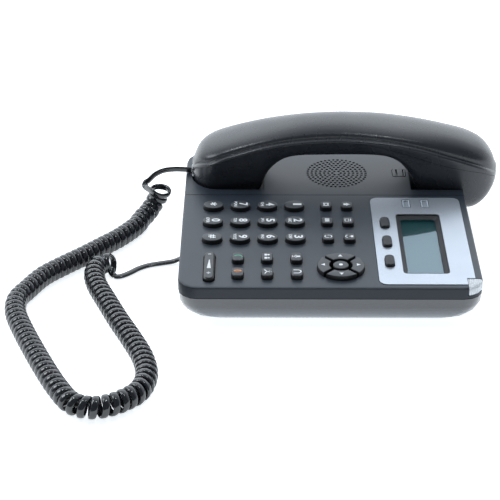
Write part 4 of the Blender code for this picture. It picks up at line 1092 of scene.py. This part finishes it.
def whole_cord():
    """The centreline from the handset's plug to the base's, and the direction of the ribbon's width."""
    coil, widths = helix()
    first = smooth_route([Vector(p) * MM for p in HANDSET_LEAD_ROUTE] + coil[:JOIN], LEAD_SPACING)
    last = smooth_route(coil[-JOIN:] + [Vector(p) * MM for p in BASE_LEAD_ROUTE], LEAD_SPACING)
    side = Vector((0.3, 0, 0.95))
    shares = [smooth_step(i / (len(first) - 1), 0.3, 0.95) for i in range(len(first))]
    first_widths = [side.lerp(widths[JOIN - 1], share) for share in shares]
    last_widths = []
    for i, along in enumerate(directions(last)):
        lying = along.cross(Vector((0, 0, 1)))  # the lead lies flat on the table
        if lying.dot(widths[-JOIN]) < 0:
            lying = -lying
        last_widths.append(widths[-JOIN].lerp(lying, smooth_step(i / (len(last) - 1), 0.0, 0.12)))
    points = first[:-1] + coil[JOIN:-JOIN] + last[1:]
    return points, first_widths[:-1] + widths[JOIN:-JOIN] + last_widths[1:]


def smooth_step(value, start, end):
    t = min(max((value - start) / (end - start), 0.0), 1.0)
    return t * t * (3 - 2 * t)


def ribbon_section():
    """The flat jacket's outline: round edges, and a low ridge over each of its two cores."""
    upper = []
    count = 9
    for i in range(count + 1):
        across = math.cos(math.pi * i / count)
        ridge = 1 - 0.1 * math.exp(-((across / 0.22) ** 2))
        upper.append((across * CORD_WIDTH / 2, ridge * (1 - abs(across) ** 2.1) ** 0.5 * CORD_THICKNESS / 2))
    return upper + [(u, -v) for u, v in reversed(upper[1:-1])]


def curly_cord():
    points, hints = whole_cord()
    section = ribbon_section()
    rings = []
    for point, along, hint in zip(points, directions(points), hints):
        across = (hint - along * hint.dot(along)).normalized()
        high = along.cross(across)
        rings.append([point + across * u + high * v for u, v in section])
    cord = piece("handset_cord", loft("handset_cord", rings), CORD, "base", sharp=60,
                 stands_for=["cord_coil", "handset_lead", "base_lead"])


curly_cord()


# --- light, floor and camera ---------------------------------------------------------------


def area_light(name, at, towards, size, power):
    """A cool white panel that faces a point."""
    data = bpy.data.lights.new(name, "AREA")
    data.shape = "RECTANGLE"
    data.size, data.size_y = size
    data.energy = power
    data.color = (0.92, 0.965, 1.0)
    obj = in_scene(name, data)
    obj.location = at
    obj.rotation_euler = (Vector(towards) - Vector(at)).to_track_quat("-Z", "Y").to_euler()


def studio():
    world = bpy.data.worlds.new("studio")
    bpy.context.scene.world = world
    world.use_nodes = True
    new, link = world.node_tree.nodes.new, world.node_tree.links.new
    background = world.node_tree.nodes["Background"]
    background.inputs["Color"].default_value = (0.86, 0.93, 1.0, 1)
    # Bright behind the phone and at its sides, dimmer above and in front.
    place, split = new("ShaderNodeTexCoord"), new("ShaderNodeSeparateXYZ")
    sides, lean, fade = new("ShaderNodeMath"), new("ShaderNodeMath"), new("ShaderNodeMapRange")
    sides.operation, lean.operation = "ABSOLUTE", "MULTIPLY_ADD"
    lean.inputs[1].default_value = -0.5
    for key, value in (("From Min", -0.95), ("From Max", -0.25), ("To Min", 1.5), ("To Max", 0.2)):
        fade.inputs[key].default_value = value
    link(place.outputs["Generated"], split.inputs["Vector"])
    link(split.outputs["Y"], sides.inputs[0])
    link(sides.outputs["Value"], lean.inputs[0])
    link(split.outputs["X"], lean.inputs[2])
    link(lean.outputs["Value"], fade.inputs["Value"])
    link(fade.outputs["Result"], background.inputs["Strength"])

    floor = in_scene("floor", prisms("floor", [rounded_rect(8.0, 8.0, 0.5)], -0.02, -0.0003))
    nodes = Nodes("floor")
    nodes.feed("Base Color", tone(nodes, (0.9, 0.91, 0.92), 0.01, 3))
    nodes.set(Roughness=0.9, Emission_Color=(0.93, 0.97, 1.0, 1), Emission_Strength=0.85)
    floor.data.materials.append(nodes.material)

    area_light("backdrop", (-1.6, 0.0, 0.75), (0, 0, 0.75), (4.0, 1.5), 12)
    area_light("overhead", (-0.45, 0.0, 1.5), (0, 0, 0), (1.2, 1.6), 2.5)
    area_light("left_box", (-0.1, -1.15, 0.9), (0, 0, 0), (0.6, 0.6), 6)
    area_light("glint_left", (-0.15, -0.55, 1.2), (0.05, -0.1, 0), (0.14, 0.14), 1.6)
    area_light("glint_right", (0.1, 0.25, 1.3), (0.05, -0.1, 0), (0.14, 0.14), 1.6)


CAMERA_PLACE = Vector((997.45, -59.6, 577.6)) * MM
CAMERA_PITCH, CAMERA_YAW = math.radians(30), math.radians(0.235)


def camera():
    pitch, yaw = CAMERA_PITCH, CAMERA_YAW
    forward = Vector((-math.cos(yaw) * math.cos(pitch), -math.sin(yaw) * math.cos(pitch), -math.sin(pitch)))
    right = Vector((-math.sin(yaw), math.cos(yaw), 0))
    up = right.cross(forward)
    data = bpy.data.cameras.new("camera")
    data.sensor_width = 36
    data.lens = 121.6
    data.clip_start, data.clip_end = 0.05, 20
    obj = in_scene("camera", data)
    turn = Matrix((right, up, -forward)).transposed().to_4x4()
    obj.matrix_world = Matrix.Translation(CAMERA_PLACE) @ turn
    bpy.context.scene.camera = obj


studio()
camera()
bpy.context.scene.view_settings.view_transform = "Standard"
bpy.context.scene.view_settings.look = "None"
